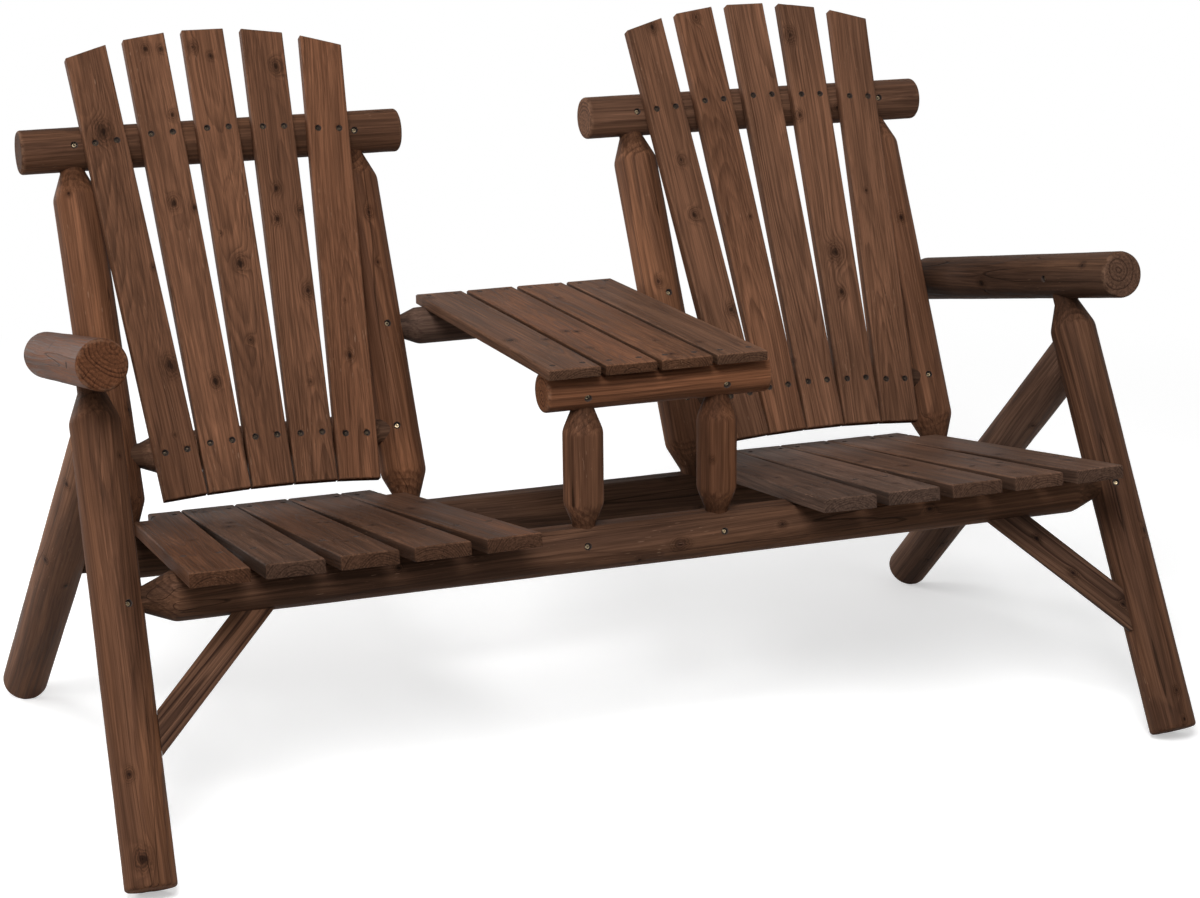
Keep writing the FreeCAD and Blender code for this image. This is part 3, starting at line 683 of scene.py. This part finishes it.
def wear_and_tint(t, w):
    """Cracks, cones darkened by soaked-in colour and painted shade, the piece's colour multiplier with its
    painted light and shade, and bare wood on worn edges and flecks.
    """
    w.shade = t.times(w.shade, t.grow(w.crack, -0.55, 1.0))
    # cones darkened: soaked-in colour, and painted shade at the joints
    w.shade = t.times(w.shade, t.grow(w.mark[2], -0.42, 1.0))
    # the piece's colour multiplier, with painted light and shade mixed in
    w.colour = t.mix(1.0, t.shaded(w.colour, w.shade), w.tint, "MULTIPLY")
    bare = t.times(w.mark[0], t.ramp(t.noise(w.grain, 90.0, 3.0, 0.6)["Fac"], 0.40, 0.62))
    w.bare = t.math("MAXIMUM", t.times(bare, 0.5), t.times(w.fleck, 0.5))
    w.colour = t.mix(w.bare, w.colour, BARE_WOOD)


def roughness(t, w):
    gloss = t.grow(w.late, -0.10, t.ramp(w.fibre, 0.2, 0.8, 0.54, 0.72))
    gloss = t.grow(w.cut, 0.16, gloss)
    return t.grow(w.bare, 0.15, gloss)


def relief_height(t, w):
    height = t.grow(w.late, 0.34, t.times(w.fibre, 0.6))
    for what, share in ((w.pores, 0.30), (w.crack, -1.0), (w.split, -1.2), (w.heart, 0.35)):
        height = t.grow(what, share, height)
    return height


def wood_group():
    """Solid wood: colour, roughness and height from the grain, knot, tint, mark and cut of each piece."""
    group = bpy.data.node_groups.new("solid_wood", "ShaderNodeTree")
    wood_sockets(group.interface)
    t = Tree(group)
    w = read_piece(t)
    for step in (growth_rings, fibres, knot_colours, sawn_ends, wear_and_tint):
        step(t, w)
    t.node("NodeGroupOutput", w.colour, roughness(t, w), relief_height(t, w))
    return group


def bumped(t, shader, height, strength, distance):
    relief = t.node("ShaderNodeBump")
    relief.inputs["Strength"].default_value = strength
    relief.inputs["Distance"].default_value = distance * MM
    t.feed(relief.inputs["Height"], height)
    t.feed(shader.inputs["Normal"], relief.outputs[0])


def wood(name, group, colours, ring_width, ring_depth, crack, end_shade, bump):
    """A wood. colours are those of light, dark, reddish and late wood. The ring width is in millimetres."""
    material, t = new_material(name)
    solid = t.node("ShaderNodeGroup", node_tree=group)
    values = [(*colour, 1.0) for colour in colours] + [ring_width * MM, ring_depth, crack, end_shade]
    for socket, value in zip(solid.inputs, values):
        socket.default_value = value
    shader = t.node("ShaderNodeBsdfPrincipled")
    t.feed(shader.inputs["Base Color"], solid.outputs["Color"])
    t.feed(shader.inputs["Roughness"], solid.outputs["Roughness"])
    shader.inputs["Specular IOR Level"].default_value = 0.03
    bumped(t, shader, solid.outputs["Height"], bump, 1.1)
    t.node("ShaderNodeOutputMaterial", shader.outputs[0])
    return material


def bore_shade_material():
    """The wall of a bore, near black: painted shade in the hole."""
    material, t = new_material("bore_painted_shade")
    place = t.node("ShaderNodeTexCoord").outputs["Object"]
    speck = t.noise(place, 900.0, 3.0)["Fac"]
    shader = t.node("ShaderNodeBsdfPrincipled")
    colour = t.mix(t.ramp(speck, 0.3, 0.7), (0.012, 0.006, 0.004, 1), (0.035, 0.017, 0.010, 1))
    t.feed(shader.inputs["Base Color"], colour)
    t.feed(shader.inputs["Roughness"], t.ramp(speck, 0.3, 0.7, 0.7, 0.9))
    t.node("ShaderNodeOutputMaterial", shader.outputs[0])
    return material


def metal_material(name, bright, dull):
    """Metal with patches of a duller tone."""
    material, t = new_material(name)
    place = t.node("ShaderNodeTexCoord").outputs["Object"]
    patch = t.noise(place, 260.0, 4.0, 0.65)["Fac"]
    shader = t.node("ShaderNodeBsdfPrincipled")
    t.feed(shader.inputs["Base Color"], t.mix(t.ramp(patch, 0.35, 0.65), (*bright, 1.0), (*dull, 1.0)))
    t.feed(shader.inputs["Roughness"], t.ramp(patch, 0.3, 0.7, 0.32, 0.62))
    shader.inputs["Metallic"].default_value = 0.9
    bumped(t, shader, patch, 0.3, 0.3)
    t.node("ShaderNodeOutputMaterial", shader.outputs[0])
    return material


LOG_COLOURS = ((0.138, 0.066, 0.038), (0.086, 0.041, 0.024), (0.178, 0.080, 0.041), (0.050, 0.023, 0.014))
BACK_COLOURS = ((0.154, 0.074, 0.043), (0.116, 0.055, 0.032), (0.172, 0.080, 0.045), (0.061, 0.029, 0.017))
SEAT_COLOURS = ((0.107, 0.058, 0.038), (0.065, 0.035, 0.023), (0.116, 0.058, 0.036), (0.042, 0.022, 0.015))
TABLE_COLOURS = ((0.152, 0.078, 0.047), (0.097, 0.049, 0.030), (0.172, 0.081, 0.047), (0.058, 0.029, 0.020))
BRACE_COLOURS = (*LOG_COLOURS[:3], (0.040, 0.018, 0.011))
solid_wood = wood_group()
LOG_WOOD = wood("log_wood", solid_wood, LOG_COLOURS, 3.8, 0.46, 1.0, 0.85, 0.6)
BACK_WOOD = wood("back_board_wood", solid_wood, BACK_COLOURS, 2.2, 0.46, 0.3, 0.7, 0.65)
SEAT_WOOD = wood("seat_board_wood", solid_wood, SEAT_COLOURS, 2.2, 0.42, 0.4, 0.7, 0.65)
TABLE_WOOD = wood("table_board_wood", solid_wood, TABLE_COLOURS, 2.2, 0.40, 0.3, 0.7, 0.65)
BRACE_WOOD = wood("brace_wood", solid_wood, BRACE_COLOURS, 7.2, 0.95, 0.6, 0.85, 0.6)
BORE_SHADE = bore_shade_material()
SCREW = metal_material("screw_metal", (0.085, 0.062, 0.04), (0.008, 0.006, 0.005))
BOLT = metal_material("bolt_metal", (0.34, 0.26, 0.16), (0.05, 0.039, 0.028))

# The heads in each row of boards and each log, as these are made: matrix, radius in metres, recess points
FASTENERS = {}


# Frames and meshes

def framed(origin, x, y, z):
    """Matrix with these axes, at a place in millimetres."""
    return Matrix.Translation(Vector(origin) * MM) @ Matrix((x, y, z)).transposed().to_4x4()


def tilted(origin, degrees):
    """Frame of a sloping plane: x along the bench, y up the slope, z out of the plane."""
    x = Vector(ACROSS)
    y = Vector((0, cos(degrees), sin(degrees)))
    return framed(origin, x, y, x.cross(y))


def nudged(x, y, degrees):
    """A way along a plane, and a turn in it."""
    return Matrix.Translation((x * MM, y * MM, 0)) @ Matrix.Rotation(math.radians(degrees), 4, "Z")


def log_frame(place, along):
    """Frame of a log: z along it, y as near to up as it can be, or to the front for an upright log."""
    z = Vector(along).normalized()
    lead = Vector((0, 0, 1)) if abs(z.z) < 0.5 else Vector((0, -1, 0))
    x = lead.cross(z).normalized()
    return framed(place, x, z.cross(x), z)


def seed_of(name):
    return sum((k + 3) * ord(c) for k, c in enumerate(name))


def new_piece(name, mesh, matrix):
    mesh.transform(matrix)
    made = bpy.data.objects.new(name, mesh)
    scene.collection.objects.link(made)
    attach(made, "root")
    return made


def made_mesh(bm, name, material):
    mesh = bpy.data.meshes.new(name)
    bm.to_mesh(mesh)
    bm.free()
    mesh.materials.append(material)
    return mesh


def smooth(mesh, degrees):
    mesh.polygons.foreach_set("use_smooth", [True] * len(mesh.polygons))
    mesh.set_sharp_from_angle(angle=math.radians(degrees))


def coordinates(mesh):
    found = np.zeros(len(mesh.vertices) * 3, np.float32)
    mesh.vertices.foreach_get("co", found)
    return found.reshape(-1, 3).astype(float)


def face_vectors(mesh, what):
    found = np.zeros(len(mesh.polygons) * 3, np.float32)
    mesh.polygons.foreach_get(what, found)
    return found.reshape(-1, 3)


def dress(mesh, name, grain, knots, wear, soak_and_shade, axis, gap_shade=1.0):
    """Write grain, knot, the colour multiplier with its painted light and shade, mark and cut onto the mesh.
    axis is the grain's local axis.

    The last argument is the painted shade on a board's two long sides, which face the gaps between boards.
    """
    chance = random.Random(seed_of(name))
    normals = np.abs(face_vectors(mesh, "normal"))
    ends = (normals[:, axis] > 0.8).astype(np.float32)
    # each piece's depth, warmth and sawn-end depth, with painted light and shade mixed in
    depth, warmth, end = STAIN_AND_PAINTED_LIGHT[name]
    tint = depth * np.array((warmth, 1.0, 1.0 / warmth)) * np.where(ends > 0, end, 1.0)[:, None]
    # painted shade on the long sides, which face the gaps between boards
    tint[normals[:, 0] > 0.8] *= gap_shade
    redness = np.full(len(mesh.vertices), chance.uniform(-0.25, 0.35))
    mark = np.column_stack([wear, redness, soak_and_shade])
    for key, values, domain in (("grain", grain, "POINT"), ("knot", knots, "CORNER"),
                                ("mark", mark, "POINT"), ("tint", tint, "FACE")):
        made = mesh.attributes.new(key, "FLOAT_VECTOR", domain)
        made.data.foreach_set("vector", np.ascontiguousarray(values, np.float32).ravel())
    mesh.attributes.new("cut", "FLOAT", "FACE").data.foreach_set("value", ends)


def knot_field(mesh, knots, place):
    """For each corner, the way from the knot nearest to its face, in knot sizes, and the knot's size.

    place gives the way across and along from a knot, in metres, for an array of points.
    """
    count = len(mesh.loops)
    if not knots:
        return np.tile((6.0, 0.0, 3.0 * MM), (count, 1))
    corner = np.zeros(count, np.int32)
    total = np.zeros(len(mesh.polygons), np.int32)
    mesh.loops.foreach_get("vertex_index", corner)
    mesh.polygons.foreach_get("loop_total", total)
    face = np.repeat(np.arange(len(mesh.polygons)), total)
    sizes = np.array([k[2] for k in knots]) * MM
    scale = sizes[:, None, None] * (1.0, 1.3)
    centres = face_vectors(mesh, "center").astype(float)
    points = coordinates(mesh)
    from_centres = np.array([place(centres, k) for k in knots]) / scale
    near = np.argmin(np.linalg.norm(from_centres, axis=2), axis=0)[face]
    offsets = (np.array([place(points, k) for k in knots]) / scale)[near, corner]
    reach = np.maximum(np.linalg.norm(offsets, axis=1) / 8.0, 1.0)
    return np.column_stack([offsets / reach[:, None], sizes[near]])


def ring_points(radius, sides):
    """Points of a circle round z, as pairs of x and y."""
    turns = [2 * math.pi * k / sides for k in range(sides)]
    return [(radius * math.cos(a), radius * math.sin(a)) for a in turns]


def wall(bm, low, high):
    """Four-sided faces between two rings of as many points."""
    count = len(low)
    for k in range(count):
        after = (k + 1) % count
        bm.faces.new((low[k], low[after], high[after], high[k]))


def cutter(bm, matrix, radius, depth):
    """Round bore with a countersunk mouth, sunk into z = 0 of the matrix, in metres."""
    above = 4.0 * MM
    profile = [(radius * 0.25, -depth), (radius, -depth), (radius, -radius * 0.22),
               (radius * 1.2, 0.0), (radius * 1.28, above)]
    made = [[bm.verts.new(matrix @ Vector((x, y, z))) for x, y in ring_points(r, 20)] for r, z in profile]
    for low, high in zip(made, made[1:]):
        wall(bm, low, high)
    bm.faces.new(list(reversed(made[0])))
    bm.faces.new(made[-1])


def bore(mesh, bores):
    """The mesh with the bores cut out: each is (matrix, radius, depth), in the mesh's own space."""
    if not bores:
        return mesh
    bm = bmesh.new()
    for matrix, radius, depth in bores:
        cutter(bm, matrix, radius, depth)
    body = bpy.data.objects.new("body", mesh)
    tool = bpy.data.objects.new("tool", made_mesh(bm, "tool", BORE_SHADE))
    for o in (body, tool):
        scene.collection.objects.link(o)
    cut = body.modifiers.new("cut", "BOOLEAN")
    cut.operation = "DIFFERENCE"
    cut.solver = "EXACT"
    cut.object = tool
    cut.material_mode = "TRANSFER"
    found = bpy.data.meshes.new_from_object(body.evaluated_get(bpy.context.evaluated_depsgraph_get()))
    for o in (body, tool):
        bpy.data.objects.remove(o)
    return found


def flat_faces(node, matrix):
    """The CAD node's own solid with its flat faces joined again, in the piece's frame."""
    bm = bmesh.new()
    bm.from_mesh(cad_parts[node].data)
    bm.transform(matrix.inverted())
    bmesh.ops.remove_doubles(bm, verts=bm.verts, dist=1e-5)
    bmesh.ops.dissolve_limit(bm, angle_limit=math.radians(1.0), verts=bm.verts, edges=bm.edges)
    return bm


def ease_edges(bm, size):
    sharp = [e for e in bm.edges if len(e.link_faces) == 2 and e.calc_face_angle(0.0) > math.radians(25)]
    bmesh.ops.bevel(
        bm, geom=sharp, offset=size * MM, segments=2, profile=0.6, affect="EDGES", clamp_overlap=True)


def slice_up(bm, axis, step):
    """Cut the mesh across an axis every step, in metres."""
    low = min(v.co[axis] for v in bm.verts)
    high = max(v.co[axis] for v in bm.verts)
    normal = Vector((0, 0, 0))
    normal[axis] = 1.0
    place = low + step
    while place < high - step * 0.4:
        geometry = bm.verts[:] + bm.edges[:] + bm.faces[:]
        bmesh.ops.bisect_plane(bm, geom=geometry, dist=1e-6, plane_co=normal * place, plane_no=normal)
        place += step


def fine_faces(bm, slices):
    """Slices along the axes, and no face with more than four corners."""
    for axis, step in slices:
        slice_up(bm, axis, step)
    bmesh.ops.triangulate(bm, faces=[f for f in bm.faces if len(f.verts) > 4])


# Boards

def board_mesh(name, matrix, material, bores):
    """The CAD board with eased edges and bores, in faces small enough to carry the grain and the knots."""
    bm = flat_faces(name, matrix)
    ease_edges(bm, BOARD_EDGE)
    mesh = bore(made_mesh(bm, name, material), bores)
    bm = bmesh.new()
    bm.from_mesh(mesh)
    fine_faces(bm, ((1, 0.006), (0, 0.005)))
    bm.to_mesh(mesh)
    bm.free()
    mesh.name = name
    return mesh


def cup(mesh, name, points):
    """A little unevenness of a board's faces, always into the solid."""
    low, high = points.min(0), points.max(0)
    middle = (low + high) / 2
    half = (high - low) / 2
    seed = seed_of(name)
    rough = np.array([noise.noise(Vector((x * 22, y * 5 + seed, z * 22))) for x, y, z in points])
    sink = BOARD_UNEVEN * MM * (0.5 + 0.5 * rough)
    out = np.sign(points - middle) * (np.abs(points - middle) > half - 2.5 * MM)
    points = points - out * sink[:, None]
    mesh.vertices.foreach_set("co", points.astype(np.float32).ravel())
    return points


def edge_wear(points, low, high, reach):
    """1 at the upper edges of a board and 0 from reach inwards."""
    side = np.minimum(points - low, high - points)
    side = np.minimum(side[:, 0], side[:, 1])
    return np.clip(1.0 - np.hypot(side, (high[2] - points[:, 2]) * 1.6) / reach, 0.0, 1.0)


def flat_way(axis):
    """Way across and along from a knot, on a flat piece whose grain runs along an axis."""
    return lambda at, knot: np.column_stack([at[:, 0] - knot[1] * MM, at[:, axis] - knot[0] * MM])


def board(name, matrix, material, slot_name, screws, pith, screw_radius=SCREW_RADIUS):
    """One board from its CAD node: eased edges, countersunk screws, and grain along y."""
    chance = random.Random(seed_of(name))
    bores = [(Matrix.Translation((x * MM, y * MM, 0)), screw_radius * MM, SCREW_BORE * MM) for x, y in screws]
    mesh = board_mesh(name, matrix, material, bores)
    points = coordinates(mesh)
    low, high = points.min(0), points.max(0)
    points = cup(mesh, name, points)
    knots = KNOTS.get(name)
    if knots is None:
        knots = [(chance.uniform(0.05, 0.95) * high[1] / MM, chance.uniform(-0.8, 0.8) * high[0] / MM,
                  chance.uniform(2.5, 6.5)) for _ in range(chance.choice((2, 3, 4)))]
    near = knot_field(mesh, knots, flat_way(1))
    shift = chance.uniform(0, 30)
    side = chance.uniform(-22, 22) * MM
    lift = pith * chance.uniform(0.8, 1.3) * MM + (points[:, 1] - high[1] / 2) * chance.uniform(-0.035, 0.035)
    grain = np.column_stack([points[:, 0] + side, points[:, 2] + lift, points[:, 1] + shift])
    # painted shade on the long sides of seat and table boards, except the first board of each row
    gap_shade = GAP_SHADE if slot_name != "back_boards" and not name.endswith("_1") else 1.0
    dress(mesh, name, grain, near, edge_wear(points, low, high, 3.0 * MM), np.zeros(len(points)), 1, gap_shade)
    smooth(mesh, 32)
    made = new_piece(name, mesh, matrix)
    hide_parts(name)
    heads = FASTENERS.setdefault("screws_" + name.rsplit("_", 1)[0], [])
    for x, y in screws:
        sunk = Matrix.Translation((x * MM, y * MM, -SCREW_HEAD_SUNK * MM))
        heads.append((matrix @ sunk, screw_radius * SCREW_HEAD_SHARE * MM, 4))


# Logs

def log_heights(length, radius, low, high, tenon):
    """Where a log has a ring of points: at even steps, and closer at shoulders, corners and square ends."""
    heights = set(np.arange(0, length, LOG_STEP)) | {length}
    for end in (low, high):
        if end is None:
            continue
        # where both shoulders are equal, the high end keeps to the even steps
        at_low = end == low
        corner = end + (radius - tenon) / CONE_TAPER
        for way in [end] + [corner + d for d in np.arange(-14, 15, 2.0)]:
            heights.add(way if at_low else length - way)
    if low is None:
        heights |= set(END_STEPS)
    if high is None:
        heights |= {length - d for d in END_STEPS}
    start = TENON_STOP if low is not None else 0.0
    stop = length - TENON_STOP if high is not None else length
    return sorted(h for h in heights if start - 1e-6 <= h <= stop + 1e-6)


def radius_at(z, length, radius, low, high, tenon):
    """Radius of a log at a height: cones to the tenons, rounded corners and eased square ends."""
    r = radius
    for at, end in ((z, low), (length - z, high)):
        if end is not None:
            cone = tenon + max(at - end, 0.0) * CONE_TAPER
            gap = max(CORNER_SOFT - abs(r - cone), 0.0) / CORNER_SOFT
            r = min(r, cone) - gap * gap * CORNER_SOFT / 4
        elif at < END_EASE:
            r = min(r, radius - END_EASE + math.sqrt(max(END_EASE ** 2 - (END_EASE - at) ** 2, 0.0)))
    return r if low is None and high is None else max(r, tenon * 0.9)


def log_angles(level, edge):
    """Even steps round a log, with one moved onto each edge of the planed flat."""
    angles = [2 * math.pi * k / LOG_SIDES for k in range(LOG_SIDES)]
    if edge:
        for target in (level - edge, level + edge):
            misses = [abs(math.remainder(a - target, 2 * math.pi)) for a in angles]
            angles[misses.index(min(misses))] = target
    return angles


def log_side(bm, name, length, radius, low, high, tenon, flat, level):
    """Rings of points along a log, with slightly uneven sides and a planed flat."""
    edge = math.acos((radius - flat) / radius) if flat else 0.0
    angles = log_angles(level, edge)
    seed = seed_of(name) * 0.37
    rings = []
    for z in log_heights(length, radius, low, high, tenon):
        r = radius_at(z, length, radius, low, high, tenon)
        ring = []
        for a in angles:
            c, s = math.cos(a), math.sin(a)
            uneven = noise.noise(Vector((c * 1.3, s * 1.3, z / 110 + seed))) * 0.5 + 0.5
            dents = noise.noise(Vector((c * 5, s * 5, z / 26 + seed * 2)))
            q = r - LOG_UNEVEN * uneven - LOG_DENT * max(dents, 0.0)
            reach = math.cos(a - level) * q
            if flat and reach > radius - flat:
                q *= (radius - flat) / reach
            ring.append(bm.verts.new(Vector((c * q, s * q, z)) * MM))
        rings.append(ring)
    for low_ring, high_ring in zip(rings, rings[1:]):
        wall(bm, low_ring, high_ring)
    return rings


def log_end(bm, ring, flip):
    """Flat end of a log in rings and a fan, facing down the log if flipped."""
    outer = ring
    centre = sum((v.co for v in ring), Vector()) / LOG_SIDES
    for share in END_RINGS:
        inner = [bm.verts.new(centre + (v.co - centre) * share) for v in ring]
        for k in range(LOG_SIDES):
            after = (k + 1) % LOG_SIDES
            quad = (outer[k], outer[after], inner[after], inner[k])
            bm.faces.new(tuple(reversed(quad)) if flip else quad)
        outer = inner
    middle = bm.verts.new(centre)
    for k in range(LOG_SIDES):
        fan = (outer[k], outer[(k + 1) % LOG_SIDES], middle)
        bm.faces.new(tuple(reversed(fan)) if flip else fan)


def onto_floor(bm, matrix):
    """Raise every point that lies below the floor onto it."""
    for v in bm.verts:
        world = matrix @ v.co
        if world.z < 0:
            world.z = 0.0
            v.co = matrix.inverted() @ world


def bolt_bores(name, matrix, radius):
    """Bores for a log's bolts, whose heads are noted down at the same time."""
    bores = []
    for z, degrees in BOLTS.get(name, []):
        out = Vector((cos(degrees), sin(degrees), 0.0))
        up = Vector((0, 0, 1))
        at = framed(out * (radius - 0.6) + up * z, up.cross(out), up, out)
        bores.append((at, BOLT_BORE_RADIUS * MM, BOLT_BORE * MM))
        head = matrix @ at @ Matrix.Translation((0, 0, -BOLT_HEAD_SUNK * MM))
        FASTENERS.setdefault("bolts_" + name, []).append((head, BOLT_HEAD_RADIUS * MM, 6))
    return bores


def round_way(radius):
    """Way across and along from a knot, round a log."""
    def way(at, knot):
        turn = np.arctan2(at[:, 1], at[:, 0]) - math.radians(knot[1])
        turn = (turn + math.pi) % (2 * math.pi) - math.pi
        return np.column_stack([turn * radius * MM, at[:, 2] - knot[0] * MM])
    return way


def log(name):
    """One turned log with slightly uneven sides, sawn ends, planed top and bolts, and grain along z."""
    place, along, length, radius, low, high, tenon, flat = LOGS[name]
    chance = random.Random(seed_of(name))
    matrix = log_frame(place, along)
    up = (matrix.inverted().to_3x3() @ Vector((0, 0, 1))).normalized()
    bm = bmesh.new()
    rings = log_side(bm, name, length, radius, low, high, tenon, flat, math.atan2(up.y, up.x))
    log_end(bm, rings[0], True)
    log_end(bm, rings[-1], False)
    onto_floor(bm, matrix)
    mesh = bore(made_mesh(bm, name, LOG_WOOD), bolt_bores(name, matrix, radius))
    mesh.name = name
    points = coordinates(mesh)
    knots = KNOTS.get(name)
    if knots is None:
        knots = [(chance.uniform(0.06, 0.94) * length, chance.uniform(0, 360), chance.uniform(3.0, 7.0))
                 for _ in range(int(length / 110) + 1)]
    near = knot_field(mesh, knots, round_way(radius))
    shift = chance.uniform(0, 30)
    px, py = PITH.get(name, (chance.uniform(-9, 9), chance.uniform(-9, 9)))
    lean = (points[:, 2] - length * MM / 2) * chance.uniform(-0.02, 0.02)
    grain = np.column_stack([points[:, 0] - px * MM, points[:, 1] - py * MM + lean, points[:, 2] + shift])
    away = np.minimum(points[:, 2], length * MM - points[:, 2])
    around = np.hypot(points[:, 0], points[:, 1])
    rim = np.zeros(len(points))
    soak_and_shade = np.zeros(len(points))
    if low is None and high is None:
        rim = np.clip(1 - np.hypot(away, radius * MM - around) / (6.0 * MM), 0, 1)
    else:
        # darker cones by the shoulders: soaked-in colour, and painted shade at the joints
        soak_and_shade = np.clip((radius * MM - 1.6 * MM - around) / (10.0 * MM), 0, 1) * (away > 1.0 * MM)
    dress(mesh, name, grain, near, rim, soak_and_shade, 2)
    smooth(mesh, 30)
    made = new_piece(name, mesh, matrix)
    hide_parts(name)


def brace(name, matrix):
    """Half log from its CAD node, with eased edges, and grain along z."""
    chance = random.Random(seed_of(name))
    bm = flat_faces(name, matrix)
    ease_edges(bm, BRACE_EDGE)
    fine_faces(bm, ((2, 0.006), (0, 0.006)))
    mesh = made_mesh(bm, name, BRACE_WOOD)
    points = coordinates(mesh)
    near = knot_field(mesh, KNOTS[name], flat_way(2))
    grain = points + (chance.uniform(-6, 6) * MM, 9.0 * MM, chance.uniform(0, 30))
    dress(mesh, name, grain, near, np.zeros(len(points)), np.zeros(len(points)), 2)
    smooth(mesh, 30)
    made = new_piece(name, mesh, matrix)
    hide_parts(name)


# Screws and bolts

def recess(points):
    """Outline of a cross with four points, or of a hexagon."""
    if points != 4:
        return ring_points(0.52, points)
    w, l = 0.13, 0.56
    arm = [(w, -l), (w, -w), (l, -w)]
    outline = []
    for _ in range(4):
        outline += arm
        arm = [(-y, x) for x, y in arm]
    return outline


def head_mesh(points):
    """A screw or bolt head of radius 1: domed rim round a cross or six-sided recess."""
    bm = bmesh.new()
    sides = 24
    skirt, rim, top = ([bm.verts.new((x, y, z)) for x, y in ring_points(r, sides)]
                       for r, z in ((1.0, -0.5), (1.0, -0.02), (0.9, 0.08)))
    wall(bm, skirt, rim)
    wall(bm, rim, top)
    outline = recess(points)
    mouth = [bm.verts.new((x, y, 0.06)) for x, y in outline]
    base = [bm.verts.new((x * 0.8, y * 0.8, -0.42)) for x, y in outline]
    count = len(outline)
    for k in range(count):
        after = (k + 1) % count
        bm.faces.new((base[after], base[k], mouth[k], mouth[after]))
    bm.faces.new(base)
    edges = [bm.edges.get((top[k], top[(k + 1) % sides])) for k in range(sides)]
    edges += [bm.edges.get((mouth[k], mouth[(k + 1) % count])) for k in range(count)]
    bmesh.ops.triangle_fill(bm, use_beauty=True, edges=edges)
    bmesh.ops.recalc_face_normals(bm, faces=bm.faces)
    mesh = bpy.data.meshes.new("head")
    bm.to_mesh(mesh)
    bm.free()
    return mesh


def fasteners():
    """One piece for each row of heads, each head turned a little differently."""
    heads = {count: head_mesh(count) for count in (4, 6)}
    for name, places in FASTENERS.items():
        bm = bmesh.new()
        chance = random.Random(seed_of(name))
        for matrix, size, count in places:
            before = len(bm.verts)
            bm.from_mesh(heads[count])
            bm.verts.ensure_lookup_table()
            spin = Matrix.Rotation(chance.uniform(0, math.pi), 4, "Z")
            lean = Matrix.Rotation(chance.uniform(-0.05, 0.05), 4, "X")
            move = matrix @ lean @ spin @ Matrix.Scale(size, 4)
            for v in bm.verts[before:]:
                v.co = move @ v.co
        mesh = made_mesh(bm, name, BOLT if name.startswith("bolts") else SCREW)
        smooth(mesh, 35)
        new_piece(name, mesh, Matrix.Identity(4))


# The bench

def seat_screws(n):
    """Four screws in a seat board. An outer board has one rear screw near the middle, clear of the notch."""
    rear = {side: side * SEAT_SCREW_REAR_SIDE for side in (-1, 1)}
    if abs(n) == 2:
        rear[n // 2] = n // 2 * SEAT_SCREW_BY_NOTCH
    front = [(side * SEAT_SCREW_SIDE, SEAT_SCREWS_FRONT) for side in (-1, 1)]
    return front + [(x, SEAT_SCREWS_REAR) for x in rear.values()]


def chair(side_name, side):
    """Back and seat boards, counted from the left."""
    back = tilted((side * CHAIR_X, BACK_Y, BACK_Z), 90 - BACK_LEAN)
    seat = tilted((side * CHAIR_X, SEAT_Y, SEAT_Z), -SEAT_TILT)
    for n in range(-2, 3):
        place = back @ nudged(n * BACK_PITCH, -n * n * BACK_DROP, -n * BACK_FAN)
        rows = (BACK_SCREWS_LOWER[abs(n)], BACK_SCREWS_UPPER[abs(n)])
        screws = [(x, y) for y in rows for x in (-BACK_SCREW_SIDE, BACK_SCREW_SIDE)]
        ending = "%s_%d" % (side_name, n + 3)
        board("back_slat_" + ending, place, BACK_WOOD, "back_boards", screws, BACK_PITH)
        fan = math.degrees(math.atan(n * (SEAT_PITCH - SEAT_REAR_PITCH) / SEAT_LENGTH))
        place = seat @ nudged(n * SEAT_PITCH, 0.0, fan)
        board("seat_slat_" + ending, place, SEAT_WOOD, "seat_boards", seat_screws(n), SEAT_PITH)


def table():
    """Table boards, counted from the left."""
    top = tilted((0.0, TABLE_Y, TABLE_Z), -TABLE_TILT)
    screws = [(x, y) for y in TABLE_SCREWS for x in (-TABLE_SCREW_SIDE, TABLE_SCREW_SIDE)]
    for k in range(1, 5):
        place = top @ nudged((k - 2.5) * TABLE_PITCH, 0.0, 0.0)
        board("table_slat_%d" % k, place, TABLE_WOOD, "table_boards", screws, TABLE_PITH, TABLE_SCREW_RADIUS)


def brace_place(side_name, side):
    """Frame of a brace: turned inwards from the front leg, at a height along it."""
    start, along = LOGS["front_leg_" + side_name][:2]
    x = Vector((cos(LEG_SPLAY), 0.0, side * sin(LEG_SPLAY)))
    z = Vector(along)
    foot = BRACE_FOOT[side_name] - heel(LEG_LEAN)
    offset = Matrix.Translation((0.0, -BRACE_FRONT * MM, foot * MM))
    turn = Matrix.Rotation(math.radians(-side * BRACE_ANGLE), 4, "Y")
    return framed(start, x, z.cross(x), z) @ offset @ turn


camera()
set_world()
for light_name, (light_place, light_size, light_watts) in LIGHTS.items():
    area_light(light_name, light_place, light_size, light_watts)
floor()

for side_name, side in SIDES:
    chair(side_name, side)
table()
for log_name in LOGS:
    log(log_name)
for side_name, side in SIDES:
    brace("brace_" + side_name, brace_place(side_name, side))
fasteners()

scene.view_settings.view_transform = "Standard"
